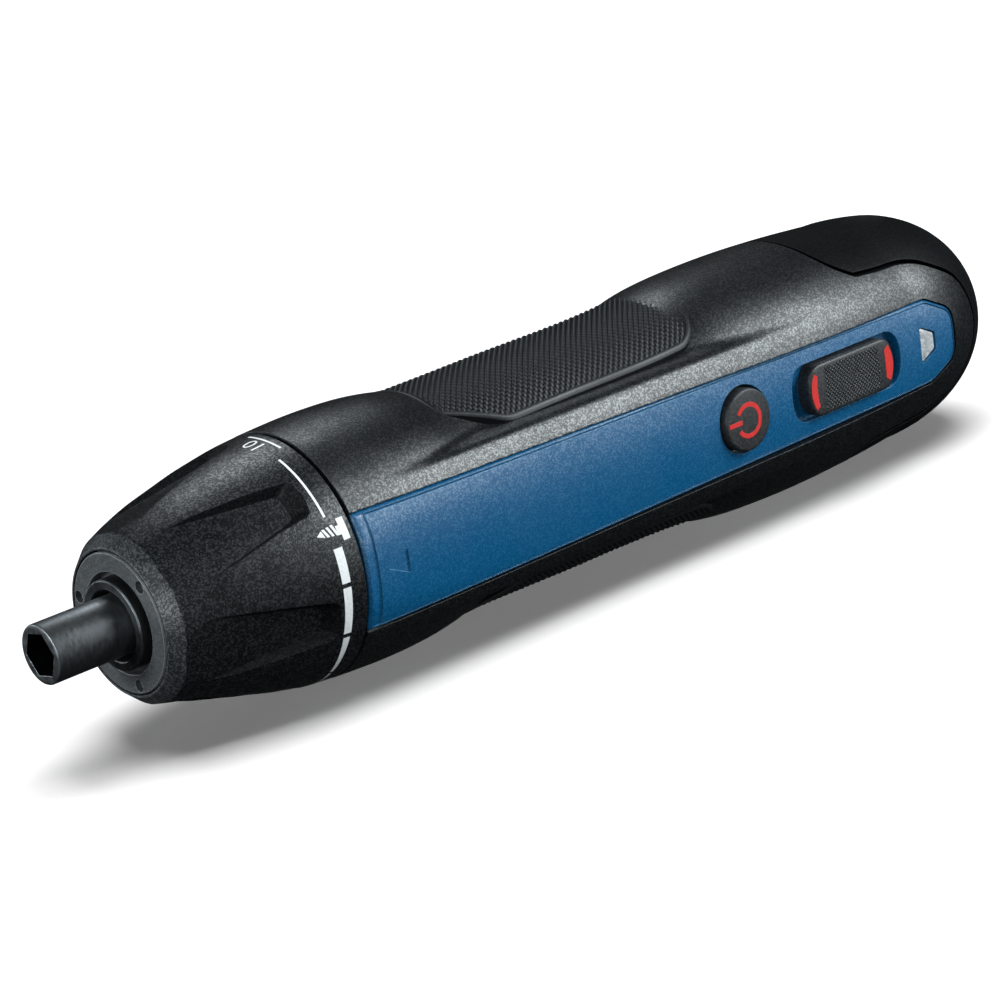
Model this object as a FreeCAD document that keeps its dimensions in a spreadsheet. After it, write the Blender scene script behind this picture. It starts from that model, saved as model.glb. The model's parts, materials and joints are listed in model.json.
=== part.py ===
import FreeCAD, Part
import Sketcher
import math
import os
import re

from FreeCAD import Placement, Rotation, Vector

# Electric screwdriver. Stations run along X from the mouth of the bit socket to the tail; the
# control panel faces -Y and the upper grip pad +Z. The origin is under the middle of the belly.
doc = FreeCAD.newDocument("electric_screwdriver")
sheet = doc.addObject("Spreadsheet::Sheet", "sizes")

sizes = [
    # clearances: running fits, seated pieces, pieces at rest, the cover's seam; and the overrun of cuts
    ("fit_gap", 0.05), ("seat_gap", 0.1), ("rest_gap", 0.3), ("cover_gap", 0.4),
    ("cutter_reach", 40.0),
    # bit socket and spindle
    ("socket_across", 6.4), ("socket_depth", 12.0), ("socket_wall", 1.5), ("socket_turn", 38.0),
    ("mouth_chamfer", 0.5), ("magnet_radius", 2.9), ("magnet_length", 2.0), ("spindle_lip", 1.5),
    ("flange_thickness", 1.4), ("shank_across", 6.0), ("shank_overhang", 1.0), ("shank_room", 2.0),
    # front bush, washer and nose ring
    ("bush_front", 13.0), ("bush_length", 13.0), ("bush_wall", 2.35), ("bush_stand", 1.2),
    ("mouth_gap", 0.9), ("mouth_depth", 3.2), ("washer_thickness", 0.8), ("ring_stand", 0.1),
    ("ring_thickness", 1.6), ("ring_gap", 0.9), ("ring_width", 3.05), ("ring_chamfer", 0.2),
    ("ring_hole_inset", 1.75), ("ring_hole_radius", 1.0), ("ring_hole_depth", 1.1),
    ("ring_hole_count", 3.0), ("ring_hole_turn", 44.0),
    # torque collar
    ("collar_length", 31.1), ("collar_step", 0.1), ("collar_rim_wall", 0.3), ("collar_lip", 2.8),
    ("collar_seam", 0.8), ("neck_gap", 0.4), ("neck_room", 1.3), ("flute_inset", 1.4), ("flute_margin", 7.0),
    ("flute_count", 6.0), ("flute_turn", 43.8), ("flute_front_drop", 6.7), ("flute_rear_depth", 2.5),
    ("flute_front_half", 6.0), ("flute_rear_half", 2.2), ("flute_front_top", 7.2), ("flute_rear_top", 3.5),
    # gearbox case, output bearing and detent leaf
    ("nose_wall", 2.35), ("case_cone", 8.0), ("case_wall", 1.85), ("case_step", 1.0), ("case_inset", 0.5),
    ("flange_room", 1.0), ("hub_gap", 0.8), ("hub_nose", 5.6), ("hub_wall", 3.4), ("hub_floor", 1.4),
    ("bearing_width", 5.0), ("bearing_wall", 2.5), ("detent_inset", 3.5), ("detent_length", 5.0),
    ("detent_thickness", 0.4), ("detent_bump", 0.3), ("detent_angle", 50.0),
    # planetary gears
    ("gear_module", 0.5), ("sun_teeth", 9.0), ("planet_teeth", 18.0), ("planet_count", 3.0),
    ("ring_wall", 1.75), ("pin_radius", 1.5), ("pin_overhang", 0.4), ("disc_rim", 2.15), ("disc_room", 1.3),
    ("disc_gap", 0.8), ("out_disc", 3.2), ("first_disc", 2.4), ("planet_gap", 0.6), ("out_planet", 8.0),
    ("in_planet", 6.0), ("stage_gap", 2.0), ("pinion_overhang", 1.2),
    # motor
    ("plate_thickness", 2.2), ("plate_hole", 4.2), ("screw_circle", 8.5), ("screw_head", 2.0),
    ("screw_head_depth", 1.0), ("screw_shank", 1.2), ("screw_length", 3.2), ("can_wall", 0.9),
    ("can_face", 1.4), ("magnet_inset", 1.6), ("magnet_run", 21.0), ("magnet_thickness", 1.85),
    ("magnet_angle", 130.0),
    ("air_gap", 0.6), ("armature_radius", 8.8), ("armature_inset", 2.0), ("slot_half_width", 1.0),
    ("slot_depth", 5.2), ("shaft_radius", 1.15), ("shaft_inset", 0.4), ("shaft_short", 0.8),
    ("commutator_radius", 3.6), ("commutator_length", 3.6), ("brush_room", 1.4), ("cap_thickness", 3.4),
    ("cap_boss", 4.5), ("cap_boss_length", 1.6),
    # cell and cradle
    ("wire_room", 4.0), ("cell_radius", 9.15), ("cell_length", 65.0), ("cell_inset", 4.0),
    ("cradle_tail", 5.0), ("cradle_wall", 1.6), ("bulkhead", 2.0), ("contact_thickness", 0.5),
    ("contact_gap", 0.2),
    # body
    ("bulge_wall", 6.6), ("front_taper", 1.6), ("belly_cut", 1.0), ("belly_lean", 1.0), ("bore_room", 1.0),
    ("dome_bore", 9.0), ("dome_bore_step", 6.0), ("tail_wall", 5.0),
    # waist scoops and grip pads
    ("scoop_inset", 11.8), ("scoop_length", 86.0), ("scoop_wall", 2.3), ("pad_inset", 14.0),
    ("pad_tail", 16.0), ("pad_half_width", 14.1), ("pad_thickness", 2.0), ("pad_front_corner", 2.5),
    ("pad_front_narrowing", 4.7), ("pad_front_taper", 11.0), ("pad_taper_corner", 8.0),
    ("pad_rear_corner", 6.5),
    # side panels
    ("panel_tail_gap", 19.2), ("panel_sink", 1.9), ("panel_thickness", 2.4), ("panel_crown", 46.0),
    ("panel_front_half", 9.4), ("panel_rear_half", 7.6), ("panel_tail_half", 4.4), ("panel_tail_run", 6.4),
    # lamp window
    ("window_margin", 5.5), ("window_length", 3.7), ("window_half", 3.3), ("window_nib", 1.5),
    ("window_depth", 4.4), ("window_gap", 3.9),
    # direction slider
    ("slider_length", 19.0), ("slider_half_height", 4.5), ("slider_rise", 1.2), ("slider_travel", 2.5),
    ("well_gap", 1.7), ("well_side_gap", 0.6), ("foot_lip", 1.5), ("foot_side", 1.1), ("slider_foot", 1.0),
    ("slot_gap", 0.5), ("slot_side_gap", 0.4), ("end_bow", 1.3), ("control_gap", 2.8),
    # power button
    ("button_radius", 5.3), ("button_gap", 0.5), ("button_rise", 1.0), ("flange_lip", 1.0),
    ("button_flange", 0.9), ("flange_side_gap", 0.6), ("button_stem_radius", 1.6), ("button_travel", 0.6),
    ("press_gap", 0.2),
    # board and switches
    ("board_lead", 8.5), ("board_tail", 7.4), ("board_half", 7.6), ("board_gap", 0.35),
    ("board_thickness", 1.2), ("tact_side", 6.0), ("tact_height", 1.6), ("switch_length", 11.0),
    ("switch_half", 2.4), ("switch_height", 1.4), ("lever_length", 2.0), ("lever_half", 1.2),
    ("lever_gap", 0.2),
    ("lamp_side", 2.0), ("lamp_height", 0.8),
    # tail cover and charging socket
    ("dimple_back", 20.5), ("dimple_ball", 30.0), ("dimple_depth", 3.3), ("usb_sink", 2.6),
    ("usb_half_width", 4.5), ("usb_half_height", 1.65), ("usb_wall", 0.35), ("usb_back", 1.0),
    ("usb_inset", 0.5), ("tongue_half_width", 3.2), ("tongue_half_height", 0.35), ("usb_slot_gap", 0.3),
    ("usb_board_half_width", 6.0), ("usb_board_half_height", 4.6), ("usb_board_thickness", 1.2),
]

# what follows from the sizes: radii from the socket outwards, then stations from the nose to the tail
places = [
    ("spindle_radius", "socket_across / 2 + socket_wall"),
    ("spindle_flange", "spindle_radius + spindle_lip"),
    ("bush_outer", "spindle_radius + fit_gap + bush_wall"),
    ("bush_mouth", "spindle_radius + mouth_gap"),
    ("washer_inner", "spindle_radius + rest_gap"),
    ("washer_outer", "bush_outer - rest_gap"),
    ("nose_tube", "bush_outer + fit_gap + nose_wall"),
    ("ring_inner", "bush_outer + ring_gap"),
    ("ring_outer", "ring_inner + ring_width"),
    ("ring_hole_circle", "ring_inner + ring_hole_inset"),
    ("collar_rim_bore", "ring_outer + rest_gap"),
    ("collar_front_radius", "collar_rim_bore + collar_rim_wall"),
    ("collar_lip_bore", "nose_tube + neck_gap"),
    ("collar_neck_bore", "nose_tube + neck_room"),
    ("ring_teeth", "sun_teeth + 2 * planet_teeth"),
    ("planet_circle", "gear_module * (sun_teeth + planet_teeth) / 2"),
    ("gear_ring_radius", "gear_module * ring_teeth / 2 + ring_wall"),
    ("disc_radius", "planet_circle + pin_radius + disc_rim"),
    ("hub_radius", "shank_across / 2 + hub_wall"),
    ("case_wide", "gear_ring_radius + fit_gap + case_wall"),
    ("case_radius", "case_wide - case_step"),
    ("case_room", "disc_radius + disc_room"),
    ("case_hall", "hub_radius + bearing_wall + 2 * fit_gap"),
    ("plate_radius", "case_wide - seat_gap"),
    ("magnet_inner", "armature_radius + air_gap"),
    ("can_radius", "magnet_inner + magnet_thickness + fit_gap + can_wall"),
    ("bore_radius", "case_wide + seat_gap"),
    ("bulkhead_radius", "bore_radius - 2 * seat_gap"),
    ("dome_bore_radius", "bore_radius - dome_bore_step"),
    ("bulge_radius", "bore_radius + bulge_wall"),
    ("axis_height", "bulge_radius - belly_cut"),
    ("collar_cave", "case_radius + detent_thickness + detent_bump + rest_gap"),
    ("collar_rear_radius", "bulge_radius - front_taper - collar_step"),
    ("flute_front_floor", "collar_rear_radius - flute_front_drop"),
    ("flute_rear_floor", "collar_rear_radius - flute_rear_depth"),
    ("scoop_floor", "bore_radius + scoop_wall"),
    ("pad_radius", "scoop_floor + pad_thickness"),
    ("dimple_floor", "bulge_radius - dimple_depth"),
    ("panel_face", "bulge_radius - panel_sink"),
    ("panel_back", "panel_face - panel_thickness"),
    ("board_back", "cell_radius + seat_gap + cradle_wall + board_gap"),
    ("board_face", "board_back + board_thickness"),
    ("button_hole", "button_radius + button_gap"),
    ("button_flange_radius", "button_hole + flange_lip"),
    ("button_well", "button_flange_radius + flange_side_gap"),
    ("button_stem", "panel_back - button_flange - board_face - tact_height - button_travel - press_gap"),
    ("well_length", "slider_length + 2 * slider_travel + 2 * well_gap"),
    ("well_half_height", "slider_half_height + well_side_gap"),
    ("slider_foot_length", "slider_length + 2 * foot_lip"),
    ("slider_foot_half", "slider_half_height + foot_side"),
    ("slot_length", "well_length + 2 * slot_gap"),
    ("slot_half", "slider_foot_half + slot_side_gap"),
    ("ring_front", "bush_front + bush_stand"),
    ("ring_rear", "ring_front + ring_thickness"),
    ("collar_front", "ring_front + ring_stand"),
    ("collar_rear", "collar_front + collar_length"),
    ("collar_rim_floor", "ring_rear + rest_gap"),
    ("collar_lip_end", "collar_rim_floor + collar_lip"),
    ("flute_start", "collar_front + flute_inset"),
    ("flute_end", "collar_rear - flute_margin"),
    ("bush_mouth_end", "bush_front + mouth_depth"),
    ("bush_rear", "bush_front + bush_length"),
    ("collar_neck_end", "bush_rear + neck_gap"),
    ("case_cone_end", "bush_rear + case_cone"),
    ("collar_cave_start", "case_cone_end + neck_gap"),
    ("detent_start", "case_cone_end + detent_inset"),
    ("detent_end", "detent_start + detent_length"),
    ("washer_start", "bush_rear + seat_gap"),
    ("washer_end", "washer_start + washer_thickness"),
    ("spindle_flange_start", "washer_end + rest_gap"),
    ("spindle_flange_end", "spindle_flange_start + flange_thickness"),
    ("case_seat", "spindle_flange_end + flange_room"),
    ("hub_start", "case_seat + hub_gap"),
    ("bearing_start", "hub_start + hub_nose"),
    ("bearing_end", "bearing_start + bearing_width"),
    ("spindle_end", "bearing_end + shank_overhang"),
    ("hub_bore_end", "spindle_end + shank_room"),
    ("case_hall_end", "hub_bore_end + hub_floor"),
    ("case_room_end", "case_hall_end + disc_gap + out_disc + planet_gap"),
    ("out_disc_start", "case_hall_end + disc_gap"),
    ("out_disc_end", "out_disc_start + out_disc"),
    ("out_planet_start", "out_disc_end + planet_gap"),
    ("out_planet_end", "out_planet_start + out_planet"),
    ("first_disc_start", "out_planet_end + stage_gap"),
    ("first_disc_end", "first_disc_start + first_disc"),
    ("in_planet_start", "first_disc_end + planet_gap"),
    ("in_planet_end", "in_planet_start + in_planet"),
    ("pinion_end", "in_planet_end + pinion_overhang"),
    ("case_rear", "in_planet_end + stage_gap"),
    ("plate_end", "case_rear + plate_thickness"),
    ("magnet_start", "plate_end + screw_length + magnet_inset"),
    ("magnet_end", "magnet_start + magnet_run"),
    ("armature_start", "magnet_start + armature_inset"),
    ("armature_end", "magnet_end - armature_inset"),
    ("commutator_end", "magnet_end + commutator_length"),
    ("can_end", "commutator_end + brush_room"),
    ("cap_end", "can_end + cap_thickness"),
    ("cap_boss_end", "cap_end + cap_boss_length"),
    ("shaft_start", "in_planet_start + shaft_inset"),
    ("shaft_end", "cap_end - shaft_short"),
    ("cradle_start", "cap_boss_end + wire_room"),
    ("cell_start", "cradle_start + cell_inset"),
    ("cradle_end", "cell_start + cell_length + cradle_tail"),
    ("bore_end", "cradle_end + bore_room"),
    ("dome_bore_end", "bore_end + dome_bore"),
    ("usb_start", "dome_bore_end - usb_sink"),
    ("overall_length", "dome_bore_end + tail_wall"),
    ("housing_front", "collar_rear + collar_seam"),
    ("case_flange", "housing_front + case_inset"),
    ("scoop_start", "housing_front + scoop_inset"),
    ("pad_start", "scoop_start + pad_inset"),
    ("pad_length", "scoop_length - pad_inset - pad_tail"),
    ("dimple_station", "overall_length - dimple_back"),
    ("panel_end", "overall_length - panel_tail_gap"),
    ("window_start", "panel_end - window_margin - window_length"),
    ("slider_station", "window_start - window_gap - slot_length / 2 - end_bow"),
    ("button_station", "slider_station - slot_length / 2 - end_bow - control_gap - button_well"),
    ("board_start", "button_station - board_lead"),
    ("board_end", "window_start + board_tail"),
]
home = {alias: "sizes." for alias, value in sizes}
home.update({alias: "places." for alias, formula in places})


def named(expression):
    # the same sum for the document: each word with the sheet that holds it
    return re.sub("[a-z][a-z_]*", lambda word: home.get(word.group(), "") + word.group(), expression)


for row, (alias, value) in enumerate(sizes, start=1):
    sheet.set("A%d" % row, str(value))
    sheet.setAlias("A%d" % row, alias)
doc.recompute()
derived = doc.addObject("Spreadsheet::Sheet", "places")
for row, (alias, formula) in enumerate(places, start=1):
    derived.set("A%d" % row, "=" + named(formula).replace("places.", ""))
    derived.setAlias("A%d" % row, alias)
doc.recompute()


def size(alias):
    return float((sheet if home[alias] == "sizes." else derived).get(alias))


def bound(thing, **bindings):
    for path, expression in bindings.items():
        thing.setExpression(path.replace("__", "."), named(expression))
    return thing


def amount(expression):
    total = float()
    sign = 1
    for word in expression.replace("+", " + ").replace("-", " - ").split():
        if word in "+-":
            sign = 1 if word == "+" else -1
        else:
            total += sign * size(word)
    return total


finished = {}


def placed(thing, label):
    thing.Label = label
    thing.Placement = Placement(Vector(-size("overall_length") / 2, 0, size("axis_height")), Rotation())
    bound(thing, Placement__Base__x="-overall_length / 2", Placement__Base__z="axis_height")
    finished[label] = thing
    return thing


def solid(label, shape):
    thing = doc.addObject("Part::Feature", label)
    thing.Shape = shape.removeSplitter()
    return placed(thing, label)


def plane(body, role):
    return next(f for f in body.Origin.OriginFeatures if f.Role == role)


def outline(body, name, role, corners):
    # a closed line of straight edges; each corner is held by two named sizes
    sketch = body.newObject("Sketcher::SketchObject", name)
    sketch.AttachmentSupport = (plane(body, role), [""])
    sketch.MapMode = "FlatFace"
    spots = [Vector(amount(along) if along else 0, amount(out) if out else 0, 0) for along, out in corners]
    for index, spot in enumerate(spots):
        sketch.addGeometry(Part.LineSegment(spot, spots[(index + 1) % len(spots)]))
    for index, (along, out) in enumerate(corners):
        sketch.addConstraint(Sketcher.Constraint("Coincident", index, 2, (index + 1) % len(corners), 1))
        for kind, word, value in (("DistanceX", along, spots[index].x), ("DistanceY", out, spots[index].y)):
            if word:
                held = sketch.addConstraint(Sketcher.Constraint(kind, -1, 1, index, 1, value))
                sketch.setExpression("Constraints[%d]" % held, named(word))
            else:
                axis = -1 if kind == "DistanceY" else -2
                sketch.addConstraint(Sketcher.Constraint("PointOnObject", index, 1, axis))
    return sketch


def turned_body(label, corners):
    body = doc.addObject("PartDesign::Body", label)
    sketch = outline(body, label + "_section", "XZ_Plane", corners)
    spin = body.newObject("PartDesign::Revolution", label + "_turn")
    spin.Profile = sketch
    spin.ReferenceAxis = (sketch, ["H_Axis"])
    spin.Angle = 360
    doc.recompute()
    return body


def turned(label, corners):
    return placed(turned_body(label, corners), label)


def cylinder(label, start, end, radius):
    bar = doc.addObject("Part::Cylinder", label)
    bar.Placement = Placement(Vector(), Rotation(Vector(0, 1, 0), 90))
    return bound(bar, Radius=radius, Height=end + " - (" + start + ")", Placement__Base__x=start)


def block(label, start, end, near, far, low, high):
    box = doc.addObject("Part::Box", label)
    return bound(box, Length=end + " - (" + start + ")", Width=far + " - (" + near + ")",
                 Height=high + " - (" + low + ")", Placement__Base__x=start,
                 Placement__Base__y=near, Placement__Base__z=low)


def joined(kind, label, base, tool):
    both = doc.addObject(kind, label)
    both.Base = base
    both.Tool = tool
    doc.recompute()
    return both


def spun(points):
    # solid of revolution about the tool's axis, from (station, radius) pairs joined by a smooth line
    curve = Part.BSplineCurve()
    curve.interpolate([Vector(along, 0, out) for along, out in points])
    first = Vector(points[0][0], 0, 0)
    last = Vector(points[-1][0], 0, 0)
    edges = [curve.toShape(), Part.makeLine(first, curve.StartPoint)]
    if points[-1][1] > 0:
        edges.append(Part.makeLine(curve.EndPoint, last))
    edges.append(Part.makeLine(last, first))
    wire = Part.Wire(Part.sortEdges(edges)[0])
    return Part.Face(wire).revolve(Vector(), Vector(1, 0, 0), 360)


def prism(points, way):
    return Part.Face(Part.makePolygon(points + points[:1])).extrude(way)


def smooth_prism(curve_points, corner_points, way):
    curve = Part.BSplineCurve()
    curve.interpolate(curve_points)
    chain = [curve_points[-1]] + corner_points + [curve_points[0]]
    edges = [curve.toShape()] + [Part.makeLine(a, b) for a, b in zip(chain, chain[1:])]
    return Part.Face(Part.Wire(Part.sortEdges(edges)[0])).extrude(way)


# stations of the outer skin as shares of the body behind the collar, drops below the bulge as shares of
# the taper
skin_station_shares = (0.0, 0.05, 0.104, 0.22, 0.36, 0.5, 0.615, 0.68, 0.75, 0.82)
skin_drop_shares = (1.0, 0.756, 0.621, 0.513, 0.378, 0.162, 0.0, 0.095, 0.351, 0.81)
dome_shares = (0.15, 0.3, 0.45, 0.6, 0.73, 0.84, 0.92, 0.97, 1.0)
dome_power = 2.3


def skin():
    start = size("housing_front")
    run = size("overall_length") - start
    radius = size("bulge_radius")
    taper = size("front_taper")
    points = [(start + run * along, radius - taper * drop)
              for along, drop in zip(skin_station_shares, skin_drop_shares)]
    dome_start, shoulder = points[-1]
    dome = size("overall_length") - dome_start
    for share in dome_shares:
        points.append((dome_start + dome * share, shoulder * (1 - share ** dome_power) ** (1 / dome_power)))
    return spun(points)


# floor of the waist scoop: station shares of its length, heights between the floor and the bulge
scoop_station_shares = (0.0, 0.07, 0.15, 0.23, 0.31, 0.44, 0.58, 0.67, 0.745, 0.82, 0.9, 1.0)
scoop_height_shares = (0.9, 0.74, 0.45, 0.17, 0.03, 0.0, 0.0, 0.1, 0.38, 0.73, 0.96, 1.12)
# flank of the scoop: degrees from the horizontal, heights in shares of the floor radius
flank_degree_shares = (0.34, 0.39, 0.44, 0.49, 0.55, 0.64, 0.8, 1.0)
flank_radius_shares = (1.31, 1.19, 1.09, 1.02, 0.985, 0.97, 0.965, 0.965)


def scoop(side):
    floor = size("scoop_floor")
    rise = size("bulge_radius") - floor
    reach = size("cutter_reach")
    along = [size("scoop_start") + size("scoop_length") * share for share in scoop_station_shares]
    points = [Vector(at, 0, floor + rise * share) for at, share in zip(along, scoop_height_shares)]
    ring_top = [Vector(along[-1], 0, reach), Vector(along[0], 0, reach)]
    curve = Part.BSplineCurve()
    curve.interpolate(points)
    chain = [points[-1]] + ring_top + [points[0]]
    edges = [curve.toShape()] + [Part.makeLine(a, b) for a, b in zip(chain, chain[1:])]
    ring = Part.Face(Part.Wire(Part.sortEdges(edges)[0])).revolve(Vector(), Vector(1, 0, 0), 360)
    right = []
    for turn, share in zip(flank_degree_shares, flank_radius_shares):
        angle = turn * math.pi / 2
        right.append(Vector(along[0], floor * share * math.cos(angle), floor * share * math.sin(angle)))
    left = [Vector(spot.x, -spot.y, spot.z) for spot in reversed(right[:-1])]
    top = [Vector(along[0], left[-1].y, reach), Vector(along[0], right[0].y, reach)]
    channel = smooth_prism(right + left, top, Vector(size("scoop_length"), 0, 0))
    cut = ring.common(channel)
    if side < 0:
        cut = cut.rotated(Vector(), Vector(1, 0, 0), 180)
    return cut


def along_axis(shape, way):
    # the straight edges that run along one direction
    limit = size("fit_gap")
    return [edge for edge in shape.Edges if edge.tangentAt(edge.FirstParameter).cross(way).Length < limit]


def panel_outline(grow, near):
    # the inlay seen from the side: straight, a little narrower to the rear, with a blunt tapered tail
    front = size("housing_front") - grow
    rear = size("panel_end") - size("panel_tail_run")
    points = [(front, size("panel_front_half") + grow), (rear, size("panel_rear_half") + grow),
              (size("panel_end") + grow, size("panel_tail_half") + grow)]
    points += [(along, -up) for along, up in reversed(points)]
    return [Vector(along, near, up) for along, up in points]


def panel_bed(side):
    depth = size("cutter_reach") - size("panel_back")
    return prism(panel_outline(size("seat_gap"), side * size("panel_back")), Vector(0, side * depth, 0))


def panel_plate(side, body):
    crown = size("panel_crown")
    back = side * size("panel_back")
    depth = size("cutter_reach") - size("panel_back")
    plate = prism(panel_outline(-size("seat_gap"), back), Vector(0, side * depth, 0))
    upright = along_axis(plate, Vector(0, 1, 0))
    rear = [edge for edge in upright if edge.CenterOfMass.x > size("button_station")]
    plate = plate.makeFillet(size("panel_tail_run") / 2, rear)
    middle = Vector(0, side * (size("panel_face") - crown), 0)
    barrel = Part.makeCylinder(crown, size("overall_length"), middle, Vector(1, 0, 0))
    return plate.common(barrel).common(body)


def oblong(station, length, half, bow, near, far):
    # a key outline with bowed ends, standing on the panel
    left = station - length / 2
    right = station + length / 2
    spots = [Vector(left, near, -half), Vector(right, near, -half),
             Vector(right, near, half), Vector(left, near, half)]
    edges = [Part.makeLine(spots[0], spots[1]),
             Part.Arc(spots[1], Vector(right + bow, near, 0), spots[2]).toShape(),
             Part.makeLine(spots[2], spots[3]),
             Part.Arc(spots[3], Vector(left - bow, near, 0), spots[0]).toShape()]
    return Part.Face(Part.Wire(edges)).extrude(Vector(0, far - near, 0))


def post(station, radius, near, far):
    return Part.makeCylinder(radius, far - near, Vector(station, near, 0), Vector(0, 1, 0))


def window(grow, near, far):
    start = size("window_start") - grow
    end = size("window_start") + size("window_length") + grow
    tall = size("window_half") + grow
    nib = size("window_nib") + grow
    spots = [(start, -tall), (start, tall), (end, nib), (end, -nib)]
    return prism([Vector(along, near, up) for along, up in spots], Vector(0, far - near, 0))


# seam of the tail cover seen from the side: stations as shares of the tail behind the scoop's rear end,
# heights as shares of the bulge radius
seam_station_shares = (0.22, 0.245, 0.264, 0.34, 0.452, 0.609, 0.676, 0.752, 0.785, 0.8)
seam_height_shares = (1.2, 0.93, 0.838, 0.676, 0.65, 0.597, 0.51, 0.375, 0.2, 0.0)


def lobe(grow):
    # everything ahead of the seam
    begin = size("scoop_start") + size("scoop_length")
    run = size("overall_length") - begin
    reach = size("cutter_reach")
    upper = [(begin + run * along, size("bulge_radius") * up)
             for along, up in zip(seam_station_shares, seam_height_shares)]
    spots = upper + [(along, -up) for along, up in reversed(upper[:-1])]
    spots += [(0, -upper[0][1]), (0, upper[0][1])]
    points = [Vector(along, -reach, up) for along, up in spots]
    face = Part.Face(Part.makePolygon(points + points[:1]))
    if grow:
        face = face.makeOffset2D(grow, 0, False, False, False)
    return face.extrude(Vector(0, 2 * reach, 0))


def cavity():
    start = size("housing_front")
    points = [(start, 0), (start, size("bore_radius")), (size("bore_end"), size("bore_radius")),
              (size("dome_bore_end"), size("dome_bore_radius")), (size("dome_bore_end"), 0)]
    face = Part.Face(Part.makePolygon([Vector(along, 0, out) for along, out in points + points[:1]]))
    return face.revolve(Vector(), Vector(1, 0, 0), 360)


# station of the widest place, as a share of the body behind the collar
bulge_share = skin_station_shares[skin_drop_shares.index(min(skin_drop_shares))]


def belly():
    # the flat that the tool lies on: faces that lean up a little from the housing's front edge and from a
    # line across the bulge, so that it rests on three points
    front = size("housing_front")
    waist = size("pad_start")
    end = size("overall_length")
    bulge = front + (end - front) * bulge_share
    edge = size("front_taper") - size("bulge_radius")
    low = -size("axis_height")
    wide = size("cutter_reach")
    lean = math.tan(math.radians(size("belly_lean")))
    spots = [(front, edge), (waist, edge + (waist - front) * lean), (waist, low + (bulge - waist) * lean),
             (bulge, low), (end, low + (end - bulge) * lean), (end, -wide), (front, -wide)]
    return prism([Vector(along, -wide, up) for along, up in spots], Vector(0, 2 * wide, 0))


body = skin().cut(belly())
for side in (1, -1):
    body = body.cut(scoop(side))


def make_housing():
    shell = body.cut(cavity())
    for side in (-1, 1):
        shell = shell.cut(panel_bed(side))
    inside = -size("board_back")
    out = -size("cutter_reach")
    shell = shell.cut(post(size("button_station"), size("button_well"), out, inside))
    shell = shell.cut(oblong(size("slider_station"), size("slot_length"), size("slot_half"),
                             size("end_bow"), out, inside))
    shell = shell.cut(window(size("seat_gap"), out, inside))
    return solid("housing", shell.common(lobe(0)))


def make_tail_cover():
    shell = body.cut(cavity()).cut(lobe(size("cover_gap")))
    high = size("usb_half_height") + size("usb_slot_gap")
    wide = size("usb_half_width") + size("usb_slot_gap")
    start = Vector(size("usb_start") - wide, -wide, -high)
    slot = Part.makeBox(size("cutter_reach"), 2 * wide, 2 * high, start)
    ball = size("dimple_ball")
    dimple = Part.makeSphere(ball, Vector(size("dimple_station"), 0, size("dimple_floor") + ball))
    return solid("tail_cover", shell.cut(slot).cut(dimple))


pad_station_shares = (0.0, 0.2, 0.4, 0.6, 0.78, 0.9, 1.0)
pad_radius_shares = (0.985, 0.99, 1.0, 1.003, 1.01, 1.025, 1.045)


def make_pad(label, side):
    start = size("pad_start")
    run = size("pad_length")
    wide = size("pad_half_width")
    corners = [(start, wide - size("pad_front_narrowing"), size("pad_front_corner")),
               (start + size("pad_front_taper"), wide, size("pad_taper_corner")),
               (start + run, wide, size("pad_rear_corner"))]
    spots = [Vector(along, out, 0) for along, out, radius in corners]
    spots += [Vector(along, -out, 0) for along, out, radius in reversed(corners)]
    slab = prism(spots, Vector(0, 0, size("cutter_reach")))
    for along, out, radius in corners:
        edges = [edge for edge in along_axis(slab, Vector(0, 0, 1))
                 if abs(edge.CenterOfMass.x - along) < size("fit_gap")
                 and abs(abs(edge.CenterOfMass.y) - out) < size("fit_gap")]
        slab = slab.makeFillet(radius, edges)
    barrel = spun([(start + run * along, size("pad_radius") * out)
                   for along, out in zip(pad_station_shares, pad_radius_shares)])
    pad = slab.common(barrel).cut(body)
    pad = max(pad.Solids, key=lambda lump: lump.Volume)
    if side < 0:
        pad = pad.rotated(Vector(), Vector(1, 0, 0), 180)
    return solid(label, pad)


def make_panels():
    out = -size("cutter_reach")
    inside = -size("board_back")
    front = panel_plate(-1, skin())
    front = front.cut(post(size("button_station"), size("button_hole"), out, inside))
    front = front.cut(oblong(size("slider_station"), size("well_length"), size("well_half_height"),
                             size("end_bow"), out, inside))
    solid("side_panel", front.cut(window(size("seat_gap"), out, inside)))
    solid("back_panel", panel_plate(1, skin()))


def make_controls():
    face = size("panel_face")
    back = size("panel_back")
    at = size("button_station")
    foot = size("button_flange")
    key = post(at, size("button_radius"), -face - size("button_rise"), -back)
    key = key.fuse(post(at, size("button_flange_radius"), -back, -back + foot))
    key = key.fuse(post(at, size("button_stem_radius"), -back + foot, -back + foot + size("button_stem")))
    solid("power_button", key)
    at = size("slider_station")
    bow = size("end_bow")
    foot = size("slider_foot")
    top = -face - size("slider_rise")
    slide = oblong(at, size("slider_length"), size("slider_half_height"), bow, top, -back)
    slide = slide.fuse(oblong(at, size("slider_foot_length"), size("slider_foot_half"),
                              bow, -back, -back + foot))
    solid("direction_slider", slide)
    crown = size("panel_crown")
    barrel = Part.makeCylinder(crown, size("overall_length"), Vector(0, crown - face, 0), Vector(1, 0, 0))
    solid("led_window", window(0, -face, -face + size("window_depth")).common(barrel))


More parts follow.
